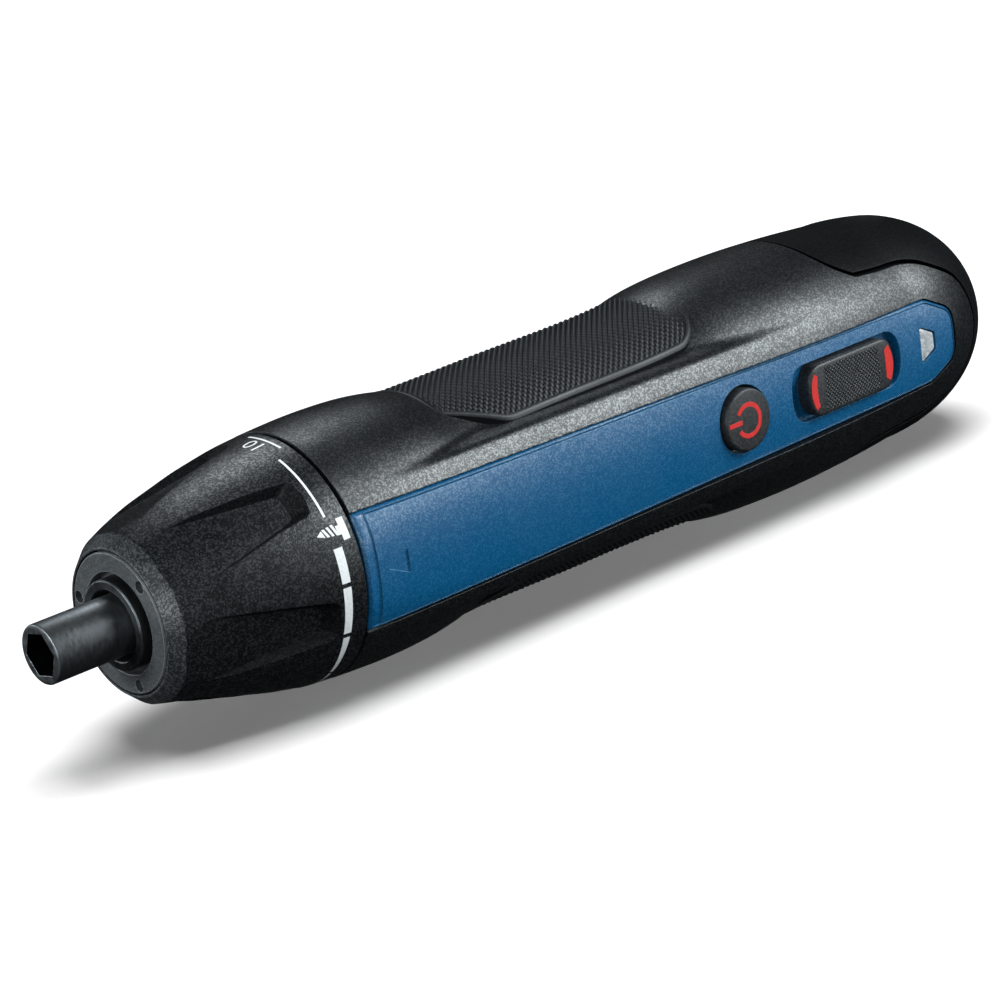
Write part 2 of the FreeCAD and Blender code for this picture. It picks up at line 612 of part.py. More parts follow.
def make_board():
    board = block("circuit_board", "board_start", "board_end", "-board_face", "-board_back",
                  "-board_half", "board_half")
    placed(board, "circuit_board")
    bound(board, Placement__Base__x="board_start - overall_length / 2",
          Placement__Base__z="axis_height - board_half")
    tact = doc.addObject("Part::Box", "tact_switch")
    bound(tact, Length="tact_side", Width="tact_height", Height="tact_side")
    standing(tact, "tact_switch", "button_station", "tact_side", "tact_side", "tact_height")
    base = doc.addObject("Part::Box", "slide_switch")
    bound(base, Length="switch_length", Width="switch_height", Height="2 * switch_half")
    standing(base, "slide_switch", "slider_station", "switch_length", "switch_half * 2", "switch_height")
    lamp = doc.addObject("Part::Box", "led_lamp")
    bound(lamp, Length="lamp_side", Width="lamp_height", Height="lamp_side")
    middle = "window_start + window_length / 2"
    standing(lamp, "led_lamp", middle, "lamp_side", "lamp_side", "lamp_height")
    lever = doc.addObject("Part::Box", "slide_switch_lever")
    reach = "panel_back - slider_foot"
    sill = "(board_face + switch_height + lever_gap)"
    bound(lever, Length="lever_length", Width=reach + " - " + sill, Height="2 * lever_half")
    placed(lever, "slide_switch_lever")
    bound(lever, Placement__Base__x="slider_station - lever_length / 2 - overall_length / 2",
          Placement__Base__y="-(" + reach + ")", Placement__Base__z="axis_height - lever_half")


def standing(box, label, station, length, tall, high):
    # a component on the outer face of the board, centred on a station
    placed(box, label)
    bound(box, Placement__Base__x="%s - %s / 2 - overall_length / 2" % (station, length),
          Placement__Base__y="-board_face - %s" % high,
          Placement__Base__z="axis_height - %s / 2" % tall)


# crest of the collar behind its front edge: stations as shares of its length, radii as shares of its widening
collar_station_shares = (0.0675, 0.135, 0.2154, 0.344, 0.4727, 0.6013, 0.73, 0.8585, 1.0)
collar_radius_shares = (0.2182, 0.3212, 0.4303, 0.5758, 0.6848, 0.7939, 0.8788, 0.9515, 1.0)


def make_collar():
    front = size("collar_front")
    rear = size("collar_rear")
    slim = size("collar_front_radius")
    widening = size("collar_rear_radius") - slim
    crest = [Vector(front + (rear - front) * along, 0, slim + widening * out)
             for along, out in zip(collar_station_shares, collar_radius_shares)]
    bore = [("collar_rear", "collar_cave"), ("collar_cave_start", "collar_cave"),
            ("collar_neck_end", "collar_neck_bore"), ("collar_lip_end", "collar_neck_bore"),
            ("collar_lip_end", "collar_lip_bore"), ("collar_rim_floor", "collar_lip_bore"),
            ("collar_rim_floor", "collar_rim_bore"), ("collar_front", "collar_rim_bore")]
    curve = Part.BSplineCurve()
    curve.interpolate(crest)
    chain = [crest[-1]] + [Vector(size(along), 0, size(out)) for along, out in bore]
    chain += [Vector(front, 0, slim), crest[0]]
    edges = [curve.toShape()] + [Part.makeLine(a, b) for a, b in zip(chain, chain[1:])]
    ring = Part.Face(Part.Wire(Part.sortEdges(edges)[0])).revolve(Vector(), Vector(1, 0, 0), 360)
    count = int(size("flute_count"))
    for index in range(count):
        turn = 90 - size("flute_turn") + 360 * index / count
        ring = ring.cut(flute().rotated(Vector(), Vector(1, 0, 0), turn))
    return solid("torque_collar", ring)


def flute():
    # a wedge that is wide and level with the skin at the front and deep and narrow at its blunt rear end
    top = size("cutter_reach")
    spread = (top - size("flute_rear_floor")) / size("flute_rear_depth")

    def section(end, at):
        half = size("flute_%s_half" % end)
        floor = size("flute_%s_floor" % end)
        wide = half + (size("flute_%s_top" % end) - half) * spread
        spots = [Vector(at, -half, floor), Vector(at, half, floor), Vector(at, wide, top),
                 Vector(at, -wide, top)]
        return Part.makePolygon(spots + spots[:1])
    ends = [section("front", size("flute_start")), section("rear", size("flute_end"))]
    return Part.makeLoft(ends, True, True)


def make_nose():
    ring = turned_body("nose_ring_blank", [
        ("ring_front", "ring_inner"), ("ring_front", "ring_outer - ring_chamfer"),
        ("ring_front + ring_chamfer", "ring_outer"), ("ring_rear", "ring_outer"),
        ("ring_rear", "ring_inner")])
    count = int(size("ring_hole_count"))
    for index in range(count):
        hole = cylinder("spanner_hole_%d" % (index + 1), "ring_front", "ring_front + ring_hole_depth",
                        "ring_hole_radius")
        turn = "(ring_hole_turn + %d * 360 / %d)" % (index, count)
        bound(hole, Placement__Base__y="-ring_hole_circle * cos(%s * 1 deg)" % turn,
              Placement__Base__z="ring_hole_circle * sin(%s * 1 deg)" % turn)
        ring = joined("Part::Cut", "nose_ring_%d" % (index + 1), ring, hole)
    placed(ring, "nose_ring")
    turned("front_bush", [
        ("bush_front", "bush_mouth"), ("bush_front", "bush_outer"), ("bush_rear", "bush_outer"),
        ("bush_rear", "spindle_radius + fit_gap"), ("bush_mouth_end", "spindle_radius + fit_gap"),
        ("bush_mouth_end", "bush_mouth")])
    turned("thrust_washer", [
        ("washer_start", "washer_inner"), ("washer_start", "washer_outer"), ("washer_end", "washer_outer"),
        ("washer_end", "washer_inner")])


def hexagon(label, start, end, across):
    bar = doc.addObject("Part::Prism", label)
    bar.Polygon = 6
    bar.Placement = Placement(Vector(), Rotation(Vector(0, 1, 0), 90))
    return bound(bar, Circumradius=across, Height=end + " - " + start, Placement__Base__x=start)


def make_spindle():
    rod = turned_body("spindle_blank", [
        ("", ""), ("", "spindle_radius - mouth_chamfer"), ("mouth_chamfer", "spindle_radius"),
        ("spindle_flange_start", "spindle_radius"), ("spindle_flange_start", "spindle_flange"),
        ("spindle_flange_end", "spindle_flange"), ("spindle_flange_end", "")])
    shank = hexagon("spindle_shank", "spindle_flange_end - fit_gap", "spindle_end",
                    "shank_across / sqrt(3)")
    bound(shank, Height="spindle_end - spindle_flange_end + fit_gap")
    rod = joined("Part::Fuse", "spindle_with_shank", rod, shank)
    socket = hexagon("bit_socket", "0 * socket_depth", "socket_depth", "socket_across / sqrt(3)")
    turn = Rotation(Vector(1, 0, 0), size("socket_turn"))
    socket.Placement = Placement(Vector(), turn.multiply(Rotation(Vector(0, 1, 0), 90)))
    rod = joined("Part::Cut", "spindle_with_socket", rod, socket)
    bed = cylinder("magnet_bed", "socket_depth - fit_gap", "socket_depth + magnet_length + fit_gap",
                   "magnet_radius + fit_gap")
    rod = joined("Part::Cut", "spindle_with_bed", rod, bed)
    mouth = doc.addObject("Part::Cone", "socket_mouth")
    mouth.Placement = Placement(Vector(), Rotation(Vector(0, 1, 0), 90))
    bound(mouth, Radius1="socket_across / sqrt(3) + mouth_chamfer / 2",
          Radius2="socket_across / 2", Height="2 * mouth_chamfer")
    placed(joined("Part::Cut", "spindle_finished", rod, mouth), "spindle")
    magnet = cylinder("bit_magnet", "socket_depth", "socket_depth + magnet_length", "magnet_radius")
    placed(magnet, "bit_magnet")
    lie_along(magnet, "socket_depth")


addendum_share = 0.75
dedendum_share = 1.05
backlash_share = 0.16
pressure_angle = math.radians(24)


def rolled(ratio):
    return math.tan(math.acos(ratio)) - math.acos(ratio)


def tooth_outline(teeth, inner, at):
    # outline of a toothed wheel; for an inner ring it is the outline of the hole, with a looser tooth
    pitch = size("gear_module") * teeth / 2
    base = pitch * math.cos(pressure_angle)
    outer = pitch + size("gear_module") * (dedendum_share if inner else addendum_share)
    root = pitch - size("gear_module") * (addendum_share if inner else dedendum_share)
    slack = backlash_share if inner else -backlash_share
    half = math.pi / (2 * teeth) * (1 + slack) + rolled(math.cos(pressure_angle))
    low = max(root, base)
    flank = [(radius, half - rolled(min(1, base / radius))) for radius in (low, (low + outer) / 2, outer)]
    if root < base:
        flank = [(root, flank[0][1])] + flank
    points = []
    for tooth in range(teeth):
        middle = 2 * math.pi * tooth / teeth
        for radius, lean in [(r, -a) for r, a in flank] + [(r, a) for r, a in reversed(flank)]:
            points.append(Vector(at, radius * math.cos(middle + lean), radius * math.sin(middle + lean)))
    return points


def toothed(teeth, start, end, inner=False):
    return prism(tooth_outline(teeth, inner, start), Vector(end - start, 0, 0))


def bar(start, end, radius, out=0.0, turn=0.0):
    spot = Vector(start, out * math.cos(turn), out * math.sin(turn))
    return Part.makeCylinder(radius, end - start, spot, Vector(1, 0, 0))


def planet_turns():
    count = int(size("planet_count"))
    return [2 * math.pi * index / count for index in range(count)]


def make_gears():
    ring = bar(size("case_room_end"), size("case_rear"), size("gear_ring_radius"))
    teeth = int(size("ring_teeth"))
    hole = toothed(teeth, size("case_room_end"), size("case_rear"), inner=True)
    hole.rotate(Vector(), Vector(1, 0, 0), 180 / teeth)
    solid("ring_gear", ring.cut(hole))
    sun = int(size("sun_teeth"))
    out = size("planet_circle")
    pin = size("pin_radius")
    disc = bar(size("out_disc_start"), size("out_disc_end"), size("disc_radius"))
    disc = disc.fuse(bar(size("hub_start"), size("out_disc_start"), size("hub_radius")))
    across = size("shank_across") + 2 * size("seat_gap")
    corners = [Vector(size("hub_start"), across / math.sqrt(3) * math.cos(side * math.pi / 3),
                      across / math.sqrt(3) * math.sin(side * math.pi / 3)) for side in range(6)]
    bore = prism(corners, Vector(size("hub_bore_end") - size("hub_start"), 0, 0))
    disc = disc.cut(bore.rotated(Vector(), Vector(1, 0, 0), 90))
    first = bar(size("first_disc_start"), size("first_disc_end"), size("disc_radius"))
    first = first.fuse(toothed(sun, size("out_planet_start"), size("first_disc_start")))
    over = size("pin_overhang")
    for turn in planet_turns():
        disc = disc.fuse(bar(size("out_disc_end"), size("out_planet_end") + over, pin, out, turn))
        first = first.fuse(bar(size("first_disc_end"), size("in_planet_end") + over, pin, out, turn))
    solid("output_carrier", disc)
    solid("first_carrier", first)
    pinion = toothed(sun, size("in_planet_start"), size("pinion_end"))
    hole = bar(size("in_planet_start"), size("pinion_end"), size("shaft_radius") + size("fit_gap"))
    solid("motor_pinion", pinion.cut(hole))
    for label, start, end in (("output_planet", "out_planet_start", "out_planet_end"),
                              ("input_planet", "in_planet_start", "in_planet_end")):
        teeth = int(size("planet_teeth"))
        wheel = toothed(teeth, size(start), size(end))
        wheel = wheel.cut(bar(size(start), size(end), pin + size("fit_gap")))
        wheel.rotate(Vector(), Vector(1, 0, 0), 180 / teeth)
        for index, turn in enumerate(planet_turns(), start=1):
            gear = wheel.rotated(Vector(), Vector(1, 0, 0), math.degrees(turn))
            gear.translate(Vector(0, out * math.cos(turn), out * math.sin(turn)))
            solid("%s_%d" % (label, index), gear)


def make_gearbox():
    turned("gearbox_housing", [
        ("ring_rear", "bush_outer + fit_gap"), ("ring_rear", "nose_tube"), ("bush_rear", "nose_tube"),
        ("case_cone_end", "case_radius"), ("case_flange", "case_radius"), ("case_flange", "case_wide"),
        ("case_rear", "case_wide"), ("case_rear", "gear_ring_radius + fit_gap"),
        ("case_room_end", "gear_ring_radius + fit_gap"), ("case_room_end", "case_room"),
        ("case_hall_end", "case_room"), ("case_hall_end", "case_hall"), ("case_seat", "case_hall"),
        ("case_seat", "bush_outer + fit_gap")])
    turned("output_bearing", [
        ("bearing_start", "hub_radius + fit_gap"), ("bearing_start", "case_hall - fit_gap"),
        ("bearing_end", "case_hall - fit_gap"), ("bearing_end", "hub_radius + fit_gap")])
    start = size("detent_start")
    end = size("detent_end")
    inner = size("case_radius") + size("fit_gap")
    leaf = wedge_ring(start, end, inner, inner + size("detent_thickness"), size("detent_angle"), 90)
    middle = (start + end) / 2
    quarter = (end - start) / 4
    bump = wedge_ring(middle - quarter, middle + quarter, inner,
                      inner + size("detent_thickness") + size("detent_bump"), size("detent_angle") / 4, 90)
    solid("collar_detent_spring", leaf.fuse(bump))


def wedge_ring(start, end, inner, outer, angle, middle):
    face = Part.makePolygon([Vector(start, inner, 0), Vector(end, inner, 0), Vector(end, outer, 0),
                             Vector(start, outer, 0), Vector(start, inner, 0)])
    piece = Part.Face(face).revolve(Vector(), Vector(1, 0, 0), angle)
    piece.rotate(Vector(), Vector(1, 0, 0), middle - angle / 2)
    return piece


def make_motor():
    start = size("case_rear")
    face = size("plate_end")
    plate = bar(start, face, size("plate_radius")).cut(bar(start, face, size("plate_hole")))
    can = bar(face, size("can_end"), size("can_radius"))
    hollow = size("can_radius") - size("can_wall")
    can = can.cut(bar(face + size("can_face"), size("can_end"), hollow))
    can = can.cut(bar(face, size("can_end"), size("shaft_radius") + size("fit_gap")))
    screws = []
    ledge = start + size("screw_head_depth")
    for turn in (0, math.pi):
        spots = [(start, ledge, size("screw_head")),
                 (ledge, face + size("screw_length"), size("screw_shank"))]
        head, shank = [bar(near, far, radius, size("screw_circle"), turn) for near, far, radius in spots]
        screws.append(head.fuse(shank).removeSplitter())
        for near, far, radius in spots:
            room = bar(near, far, radius + size("fit_gap"), size("screw_circle"), turn)
            plate = plate.cut(room)
            can = can.cut(room)
    solid("motor_plate", plate)
    solid("motor_can", can)
    group = doc.addObject("Part::Feature", "motor_screws")
    group.Shape = Part.makeCompound(screws)
    placed(group, "motor_screws")
    for label, middle in (("motor_magnet_upper", 90), ("motor_magnet_lower", 270)):
        solid(label, wedge_ring(size("magnet_start"), size("magnet_end"), size("magnet_inner"),
                                hollow - size("fit_gap"), size("magnet_angle"), middle))
    rotor = bar(size("armature_start"), size("armature_end"), size("armature_radius"))
    half = size("slot_half_width")
    floor = size("armature_radius") - size("slot_depth") + half
    for turn in planet_turns():
        slot = Part.makeBox(size("armature_end") - size("armature_start"), 2 * half, size("slot_depth"),
                            Vector(size("armature_start"), -half, floor))
        rotor = rotor.cut(slot.rotated(Vector(), Vector(1, 0, 0), math.degrees(turn)))
    rotor = rotor.fuse(bar(size("shaft_start"), size("shaft_end"), size("shaft_radius")))
    rotor = rotor.fuse(bar(size("magnet_end"), size("commutator_end"), size("commutator_radius")))
    solid("rotor", rotor)
    turned("motor_end_cap", [
        ("can_end", "shaft_radius + fit_gap"), ("can_end", "can_radius"), ("cap_end", "can_radius"),
        ("cap_end", "cap_boss"), ("cap_boss_end", "cap_boss"), ("cap_boss_end", "shaft_radius + fit_gap")])


def make_power():
    cell = cylinder("battery_cell", "cell_start", "cell_start + cell_length", "cell_radius")
    placed(cell, "battery_cell")
    lie_along(cell, "cell_start")
    sleeve = "cell_radius + seat_gap + cradle_wall"
    tube = turned_body("cradle_tube", [
        ("cradle_start", "cell_radius + seat_gap"), ("cradle_start", "bulkhead_radius"),
        ("cradle_start + bulkhead", "bulkhead_radius"), ("cradle_start + bulkhead", sleeve),
        ("cradle_end - bulkhead", sleeve), ("cradle_end - bulkhead", "bulkhead_radius"),
        ("cradle_end", "bulkhead_radius"), ("cradle_end", "cell_radius + seat_gap")])
    # flat side of the bulkheads that lets the board pass
    flat = block("cradle_flat", "cradle_start", "cradle_end", "-cutter_reach", "-board_back + board_gap / 2",
                 "-cutter_reach", "cutter_reach")
    placed(joined("Part::Cut", "cradle_cut", tube, flat), "cell_cradle")
    start = "cell_start - contact_gap - contact_thickness"
    front = cylinder("front_contact", start, "cell_start - contact_gap", "cell_radius - fit_gap")
    placed(front, "front_contact")
    lie_along(front, start)
    start = "cell_start + cell_length + contact_gap"
    rear = cylinder("rear_contact", start, start + " + contact_thickness", "cell_radius - fit_gap")
    placed(rear, "rear_contact")
    lie_along(rear, start)


def lie_along(bar_object, start):
    bar_object.Placement = Placement(bar_object.Placement.Base, Rotation(Vector(0, 1, 0), 90))
    bound(bar_object, Placement__Base__x=start + " - overall_length / 2")


def make_socket():
    wide = size("usb_half_width")
    high = size("usb_half_height")
    start = size("usb_start")
    long = size("overall_length") - size("usb_inset") - start
    wall = size("usb_wall")
    shell = Part.makeBox(long, 2 * wide, 2 * high, Vector(start, -wide, -high))
    mouth = Vector(start + size("usb_back"), wall - wide, wall - high)
    room = Part.makeBox(long, 2 * (wide - wall), 2 * (high - wall), mouth)
    tongue_wide = size("tongue_half_width")
    tongue_high = size("tongue_half_height")
    root = Vector(start, -tongue_wide, -tongue_high)
    tongue = Part.makeBox(long - 2 * wall, 2 * tongue_wide, 2 * tongue_high, root)
    solid("usb_receptacle", shell.cut(room).fuse(tongue))
    front = "usb_start - usb_board_thickness"
    board = block("usb_board", front, "usb_start", "-usb_board_half_width", "usb_board_half_width",
                  "-usb_board_half_height", "usb_board_half_height")
    placed(board, "usb_board")
    bound(board, Placement__Base__x=front + " - overall_length / 2",
          Placement__Base__z="axis_height - usb_board_half_height")


make_housing()
make_tail_cover()
make_pad("grip_pad_top", 1)
make_pad("grip_pad_bottom", -1)
make_panels()
make_controls()
make_board()
make_collar()
make_nose()
make_spindle()
make_gears()
make_gearbox()
make_motor()
make_power()
make_socket()
doc.recompute()

for thing in doc.Objects:
    if "Invalid" in thing.State or "Error" in thing.State:
        raise RuntimeError("failed object: " + thing.Label)
os.makedirs("parts", exist_ok=True)
for label, thing in finished.items():
    shape = thing.Shape
    if shape.isNull() or not shape.isValid():
        raise RuntimeError("bad shape: " + label)
    box = shape.BoundBox
    print(label, len(shape.Solids), "%.1f..%.1f %.1f..%.1f %.1f..%.1f" % (
        box.XMin, box.XMax, box.YMin, box.YMax, box.ZMin, box.ZMax), "%.1f" % shape.Volume)
    shape.exportStep("parts/%s.step" % label)
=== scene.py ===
import json
import math
from functools import partial

import bpy
import numpy as np
from mathutils import Matrix, Vector

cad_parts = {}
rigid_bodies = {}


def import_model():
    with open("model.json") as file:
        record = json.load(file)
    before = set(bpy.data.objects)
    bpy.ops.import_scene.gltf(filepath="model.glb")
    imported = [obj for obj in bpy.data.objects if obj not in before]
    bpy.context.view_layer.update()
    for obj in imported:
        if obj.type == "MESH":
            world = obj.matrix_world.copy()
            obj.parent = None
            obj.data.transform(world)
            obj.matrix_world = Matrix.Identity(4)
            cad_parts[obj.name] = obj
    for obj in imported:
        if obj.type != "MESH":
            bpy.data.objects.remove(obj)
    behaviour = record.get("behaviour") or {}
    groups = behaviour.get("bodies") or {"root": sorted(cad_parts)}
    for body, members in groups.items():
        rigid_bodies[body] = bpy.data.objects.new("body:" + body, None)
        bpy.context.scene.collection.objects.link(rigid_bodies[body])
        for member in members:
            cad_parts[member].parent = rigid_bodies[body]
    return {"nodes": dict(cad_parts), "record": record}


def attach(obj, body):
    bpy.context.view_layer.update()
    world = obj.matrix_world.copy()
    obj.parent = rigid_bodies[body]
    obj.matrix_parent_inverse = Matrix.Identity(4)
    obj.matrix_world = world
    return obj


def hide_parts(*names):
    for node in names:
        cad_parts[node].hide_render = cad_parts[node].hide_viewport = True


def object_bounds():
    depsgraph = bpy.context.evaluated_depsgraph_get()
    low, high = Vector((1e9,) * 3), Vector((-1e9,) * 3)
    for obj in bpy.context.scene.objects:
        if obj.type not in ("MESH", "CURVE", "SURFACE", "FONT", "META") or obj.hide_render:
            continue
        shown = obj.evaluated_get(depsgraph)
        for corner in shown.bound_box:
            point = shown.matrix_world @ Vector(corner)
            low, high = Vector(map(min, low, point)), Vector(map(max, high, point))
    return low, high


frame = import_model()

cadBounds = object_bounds()
mm = 0.001
axisPlace = {"tip": 101.0, "height": 20.6}  # stations start at the spindle tip, heights at the tool's axis
cutReach = {"near": 10.0, "far": 30.0}  # sideways from the axis, inside and outside every wall
weldGap = 0.002 * mm
samePlane = 0.01  # mm


def at(station, side, up):
    return Vector(((station - axisPlace["tip"]) * mm, side * mm, (up + axisPlace["height"]) * mm))


def setMode(mode):
    bpy.ops.object.mode_set(mode=mode)


def clearSelection():
    if bpy.context.mode != "OBJECT":
        setMode("OBJECT")
    bpy.ops.object.select_all(action="DESELECT")


def takeUp(piece):
    clearSelection()
    piece.select_set(True)
    bpy.context.view_layer.objects.active = piece


def editAll(piece=None):
    if piece:
        takeUp(piece)
    setMode("EDIT")
    bpy.ops.mesh.select_all(action="SELECT")


def newPiece(name):
    piece = bpy.context.object
    piece.name = name
    bpy.ops.object.transform_apply(location=True, rotation=True, scale=True)
    return piece


def drawLine(name, points):
    clearSelection()
    bpy.ops.mesh.primitive_plane_add(size=mm, location=points[0])
    piece = newPiece(name)
    piece.data.name = name
    editAll()
    bpy.ops.mesh.merge(type="CENTER")
    for before, after in zip(points, points[1:]):
        bpy.ops.mesh.extrude_region_move(TRANSFORM_OT_translate={"value": after - before})
    return piece


def faceOutward():
    editAll()
    bpy.ops.mesh.remove_doubles(threshold=weldGap)
    bpy.ops.mesh.normals_make_consistent(inside=False)
    setMode("OBJECT")


def turnProfile(name, profile, steps):
    piece = drawLine(name, [at(s, 0, r) for s, r in profile])
    editAll()
    bpy.ops.mesh.spin(steps=steps, angle=2 * math.pi, center=at(0, 0, 0), axis=(1, 0, 0))
    faceOutward()
    return piece


def prism(name, outline, way):
    piece = drawLine(name, outline)
    editAll()
    bpy.ops.mesh.edge_face_add()
    bpy.ops.mesh.extrude_region_move(TRANSFORM_OT_translate={"value": way})
    faceOutward()
    return piece


def carve(piece, cutter, way="DIFFERENCE"):
    takeUp(piece)
    cut = piece.modifiers.new("cut", "BOOLEAN")
    cut.operation = way
    cut.solver = "EXACT"
    cut.object = cutter
    bpy.ops.object.modifier_apply(modifier=cut.name)
    bpy.data.objects.remove(cutter, do_unlink=True)


def softShade(piece, degrees):
    takeUp(piece)
    bpy.ops.object.shade_smooth_by_angle(angle=math.radians(degrees))


def rawSpots(piece):
    flat = np.empty(len(piece.data.vertices) * 3)
    piece.data.vertices.foreach_get("co", flat)
    return flat.reshape(-1, 3)


def readSpots(piece):
    spots = rawSpots(piece) / mm
    return spots[:, 0] + axisPlace["tip"], spots[:, 1].copy(), spots[:, 2] - axisPlace["height"]


def faceSpot(polygon):
    s, y, z = (polygon.center - at(0, 0, 0)) / mm  # the station counts from the tip
    return s, y, z, math.hypot(y, z)


def writeSpots(piece, station, side, up):
    spots = np.stack([station - axisPlace["tip"], side, up + axisPlace["height"]], axis=1) * mm
    piece.data.vertices.foreach_set("co", spots.ravel())
    piece.data.update()


def splineThrough(xs, ys):
    xs = np.asarray(xs, float)
    ys = np.asarray(ys, float)
    gaps = np.diff(xs)
    count = len(xs)
    rows = np.eye(count)
    pull = np.zeros(count)
    for i in range(1, count - 1):
        rows[i, i - 1:i + 2] = gaps[i - 1], 2 * (gaps[i - 1] + gaps[i]), gaps[i]
        pull[i] = 6 * ((ys[i + 1] - ys[i]) / gaps[i] - (ys[i] - ys[i - 1]) / gaps[i - 1])
    bend = np.linalg.solve(rows, pull)
    firstSlope = (ys[1] - ys[0]) / gaps[0] - gaps[0] * bend[1] / 6
    lastSlope = (ys[-1] - ys[-2]) / gaps[-1] + gaps[-1] * bend[-2] / 6

    def value(x):
        x = np.asarray(x, float)
        i = np.clip(np.searchsorted(xs, x) - 1, 0, count - 2)
        a = (xs[i + 1] - x) / gaps[i]
        b = 1 - a
        inner = a * ys[i] + b * ys[i + 1]
        inner = inner + ((a ** 3 - a) * bend[i] + (b ** 3 - b) * bend[i + 1]) * gaps[i] ** 2 / 6
        inner = np.where(x < xs[0], ys[0] + firstSlope * (x - xs[0]), inner)  # straight past the ends
        return np.where(x > xs[-1], ys[-1] + lastSlope * (x - xs[-1]), inner)
    return value


def softMin(a, b, width):
    blend = np.maximum(width - np.abs(a - b), 0) / width
    return np.minimum(a, b) - blend ** 2 * width / 4


def softMax(a, b, width):
    return -softMin(-a, -b, width)


def roundCorners(corners, radii, steps):
    # corner points of a closed outline, each with its own rounding
    points = []
    for index, (corner, radius) in enumerate(zip(corners, radii)):
        here = np.array(corner, float)
        if radius == 0:
            points.append(tuple(here))
            continue
        before = np.array(corners[index - 1], float) - here
        after = np.array(corners[(index + 1) % len(corners)], float) - here
        before /= np.linalg.norm(before)
        after /= np.linalg.norm(after)
        half = math.acos(np.clip(before @ after, -1, 1)) / 2
        reach = radius / math.tan(half)
        middle = here + (before + after) / np.linalg.norm(before + after) * radius / math.sin(half)
        start = here + before * reach - middle
        end = here + after * reach - middle
        span = math.acos(np.clip(start @ end / radius ** 2, -1, 1))
        for step in range(steps + 1):
            share = step / steps
            lean = (math.sin((1 - share) * span) * start + math.sin(share * span) * end) / math.sin(span)
            points.append(tuple(middle + lean))
    return points


# node groups and materials


def newGroup(name, inputs, outputs):
    group = bpy.data.node_groups.new(name, "ShaderNodeTree")
    for label, value in inputs.items():
        socket = group.interface.new_socket(label, in_out="INPUT", socket_type="NodeSocketFloat")
        socket.default_value = value
    for label in outputs:
        kind = "NodeSocketVector" if label == "Normal" else "NodeSocketFloat"
        group.interface.new_socket(label, in_out="OUTPUT", socket_type=kind)
    return group, group.nodes.new("NodeGroupInput"), group.nodes.new("NodeGroupOutput")


def addNode(tree, kind, **values):
    node = tree.nodes.new(kind)
    for label, value in values.items():
        setattr(node, label, value)
    return node


def feed(tree, node, values):
    # numbers and tuples are set, sockets are linked
    for label, value in values.items():
        if isinstance(value, (int, float, tuple)):
            node.inputs[label].default_value = value
        elif value is not None:
            tree.links.new(value, node.inputs[label])


def ownPlace(tree):
    return addNode(tree, "ShaderNodeTexCoord").outputs["Object"]


def mathNode(tree, operation, first, second=None):
    node = addNode(tree, "ShaderNodeMath", operation=operation)
    feed(tree, node, {0: first, 1: second})
    return node.outputs[0]


def rangeNode(tree, value, low, high, outLow=0.0, outHigh=1.0):
    node = addNode(tree, "ShaderNodeMapRange", interpolation_type="SMOOTHSTEP")
    feed(tree, node, {"Value": value, "From Min": low, "From Max": high, "To Min": outLow, "To Max": outHigh})
    return node.outputs["Result"]


def noiseNode(tree, place, scale, detail):
    node = addNode(tree, "ShaderNodeTexNoise")
    feed(tree, node, {"Detail": detail, "Scale": scale, "Vector": place})
    return node.outputs["Fac"]


def makeGrain():
    # spark-eroded grain: a tone for each small cell, a height for the bump, and slow blotches
    group, entry, leave = newGroup("mouldGrain", {"Scale": 3400.0}, ("Fleck", "Height", "Blotch"))
    place = ownPlace(group)
    cells = addNode(group, "ShaderNodeTexVoronoi")
    feed(group, cells, {"Scale": entry.outputs["Scale"], "Vector": place})
    tone = addNode(group, "ShaderNodeSeparateColor")
    group.links.new(cells.outputs["Color"], tone.inputs[0])
    fine = noiseNode(group, place, mathNode(group, "MULTIPLY", entry.outputs["Scale"], 1.6), 1.0)
    slow = noiseNode(group, place, 90.0, 3.0)
    for label, value, low, high in (("Fleck", tone.outputs[0], 0.35, 1.0), ("Height", fine, 0.3, 0.7),
                                    ("Blotch", slow, 0.3, 0.7)):
        group.links.new(rangeNode(group, value, low, high), leave.inputs[label])
    return group


def makeEdge():
    # rounded edges for shading, and a mask of where they are
    group, entry, leave = newGroup("roundedEdge", {"Radius": 0.25 * mm}, ("Mask", "Normal"))
    bevel = addNode(group, "ShaderNodeBevel", samples=6)
    group.links.new(entry.outputs["Radius"], bevel.inputs["Radius"])
    plain = addNode(group, "ShaderNodeNewGeometry")
    dot = addNode(group, "ShaderNodeVectorMath", operation="DOT_PRODUCT")
    feed(group, dot, {0: bevel.outputs["Normal"], 1: plain.outputs["Normal"]})
    mask = rangeNode(group, dot.outputs["Value"], 0.995, 0.9)
    feed(group, leave, {"Mask": mask, "Normal": bevel.outputs["Normal"]})
    return group


def splitPlace(tree):
    split = addNode(tree, "ShaderNodeSeparateXYZ")
    tree.links.new(ownPlace(tree), split.inputs[0])
    return split


def makeKnurl():
    # crossed ridges over the slider's face
    group, entry, leave = newGroup("diamondKnurl", {"Pitch": 0.62 * mm}, ("Height",))
    split = splitPlace(group)
    calc = partial(mathNode, group)
    waves = []
    for operation in ("ADD", "SUBTRACT"):
        along = calc(operation, split.outputs["X"], split.outputs["Z"])
        turn = calc("MULTIPLY", calc("DIVIDE", along, entry.outputs["Pitch"]), math.pi)
        waves.append(calc("ABSOLUTE", calc("SINE", turn)))
    group.links.new(calc("MULTIPLY", waves[0], waves[1]), leave.inputs["Height"])
    return group


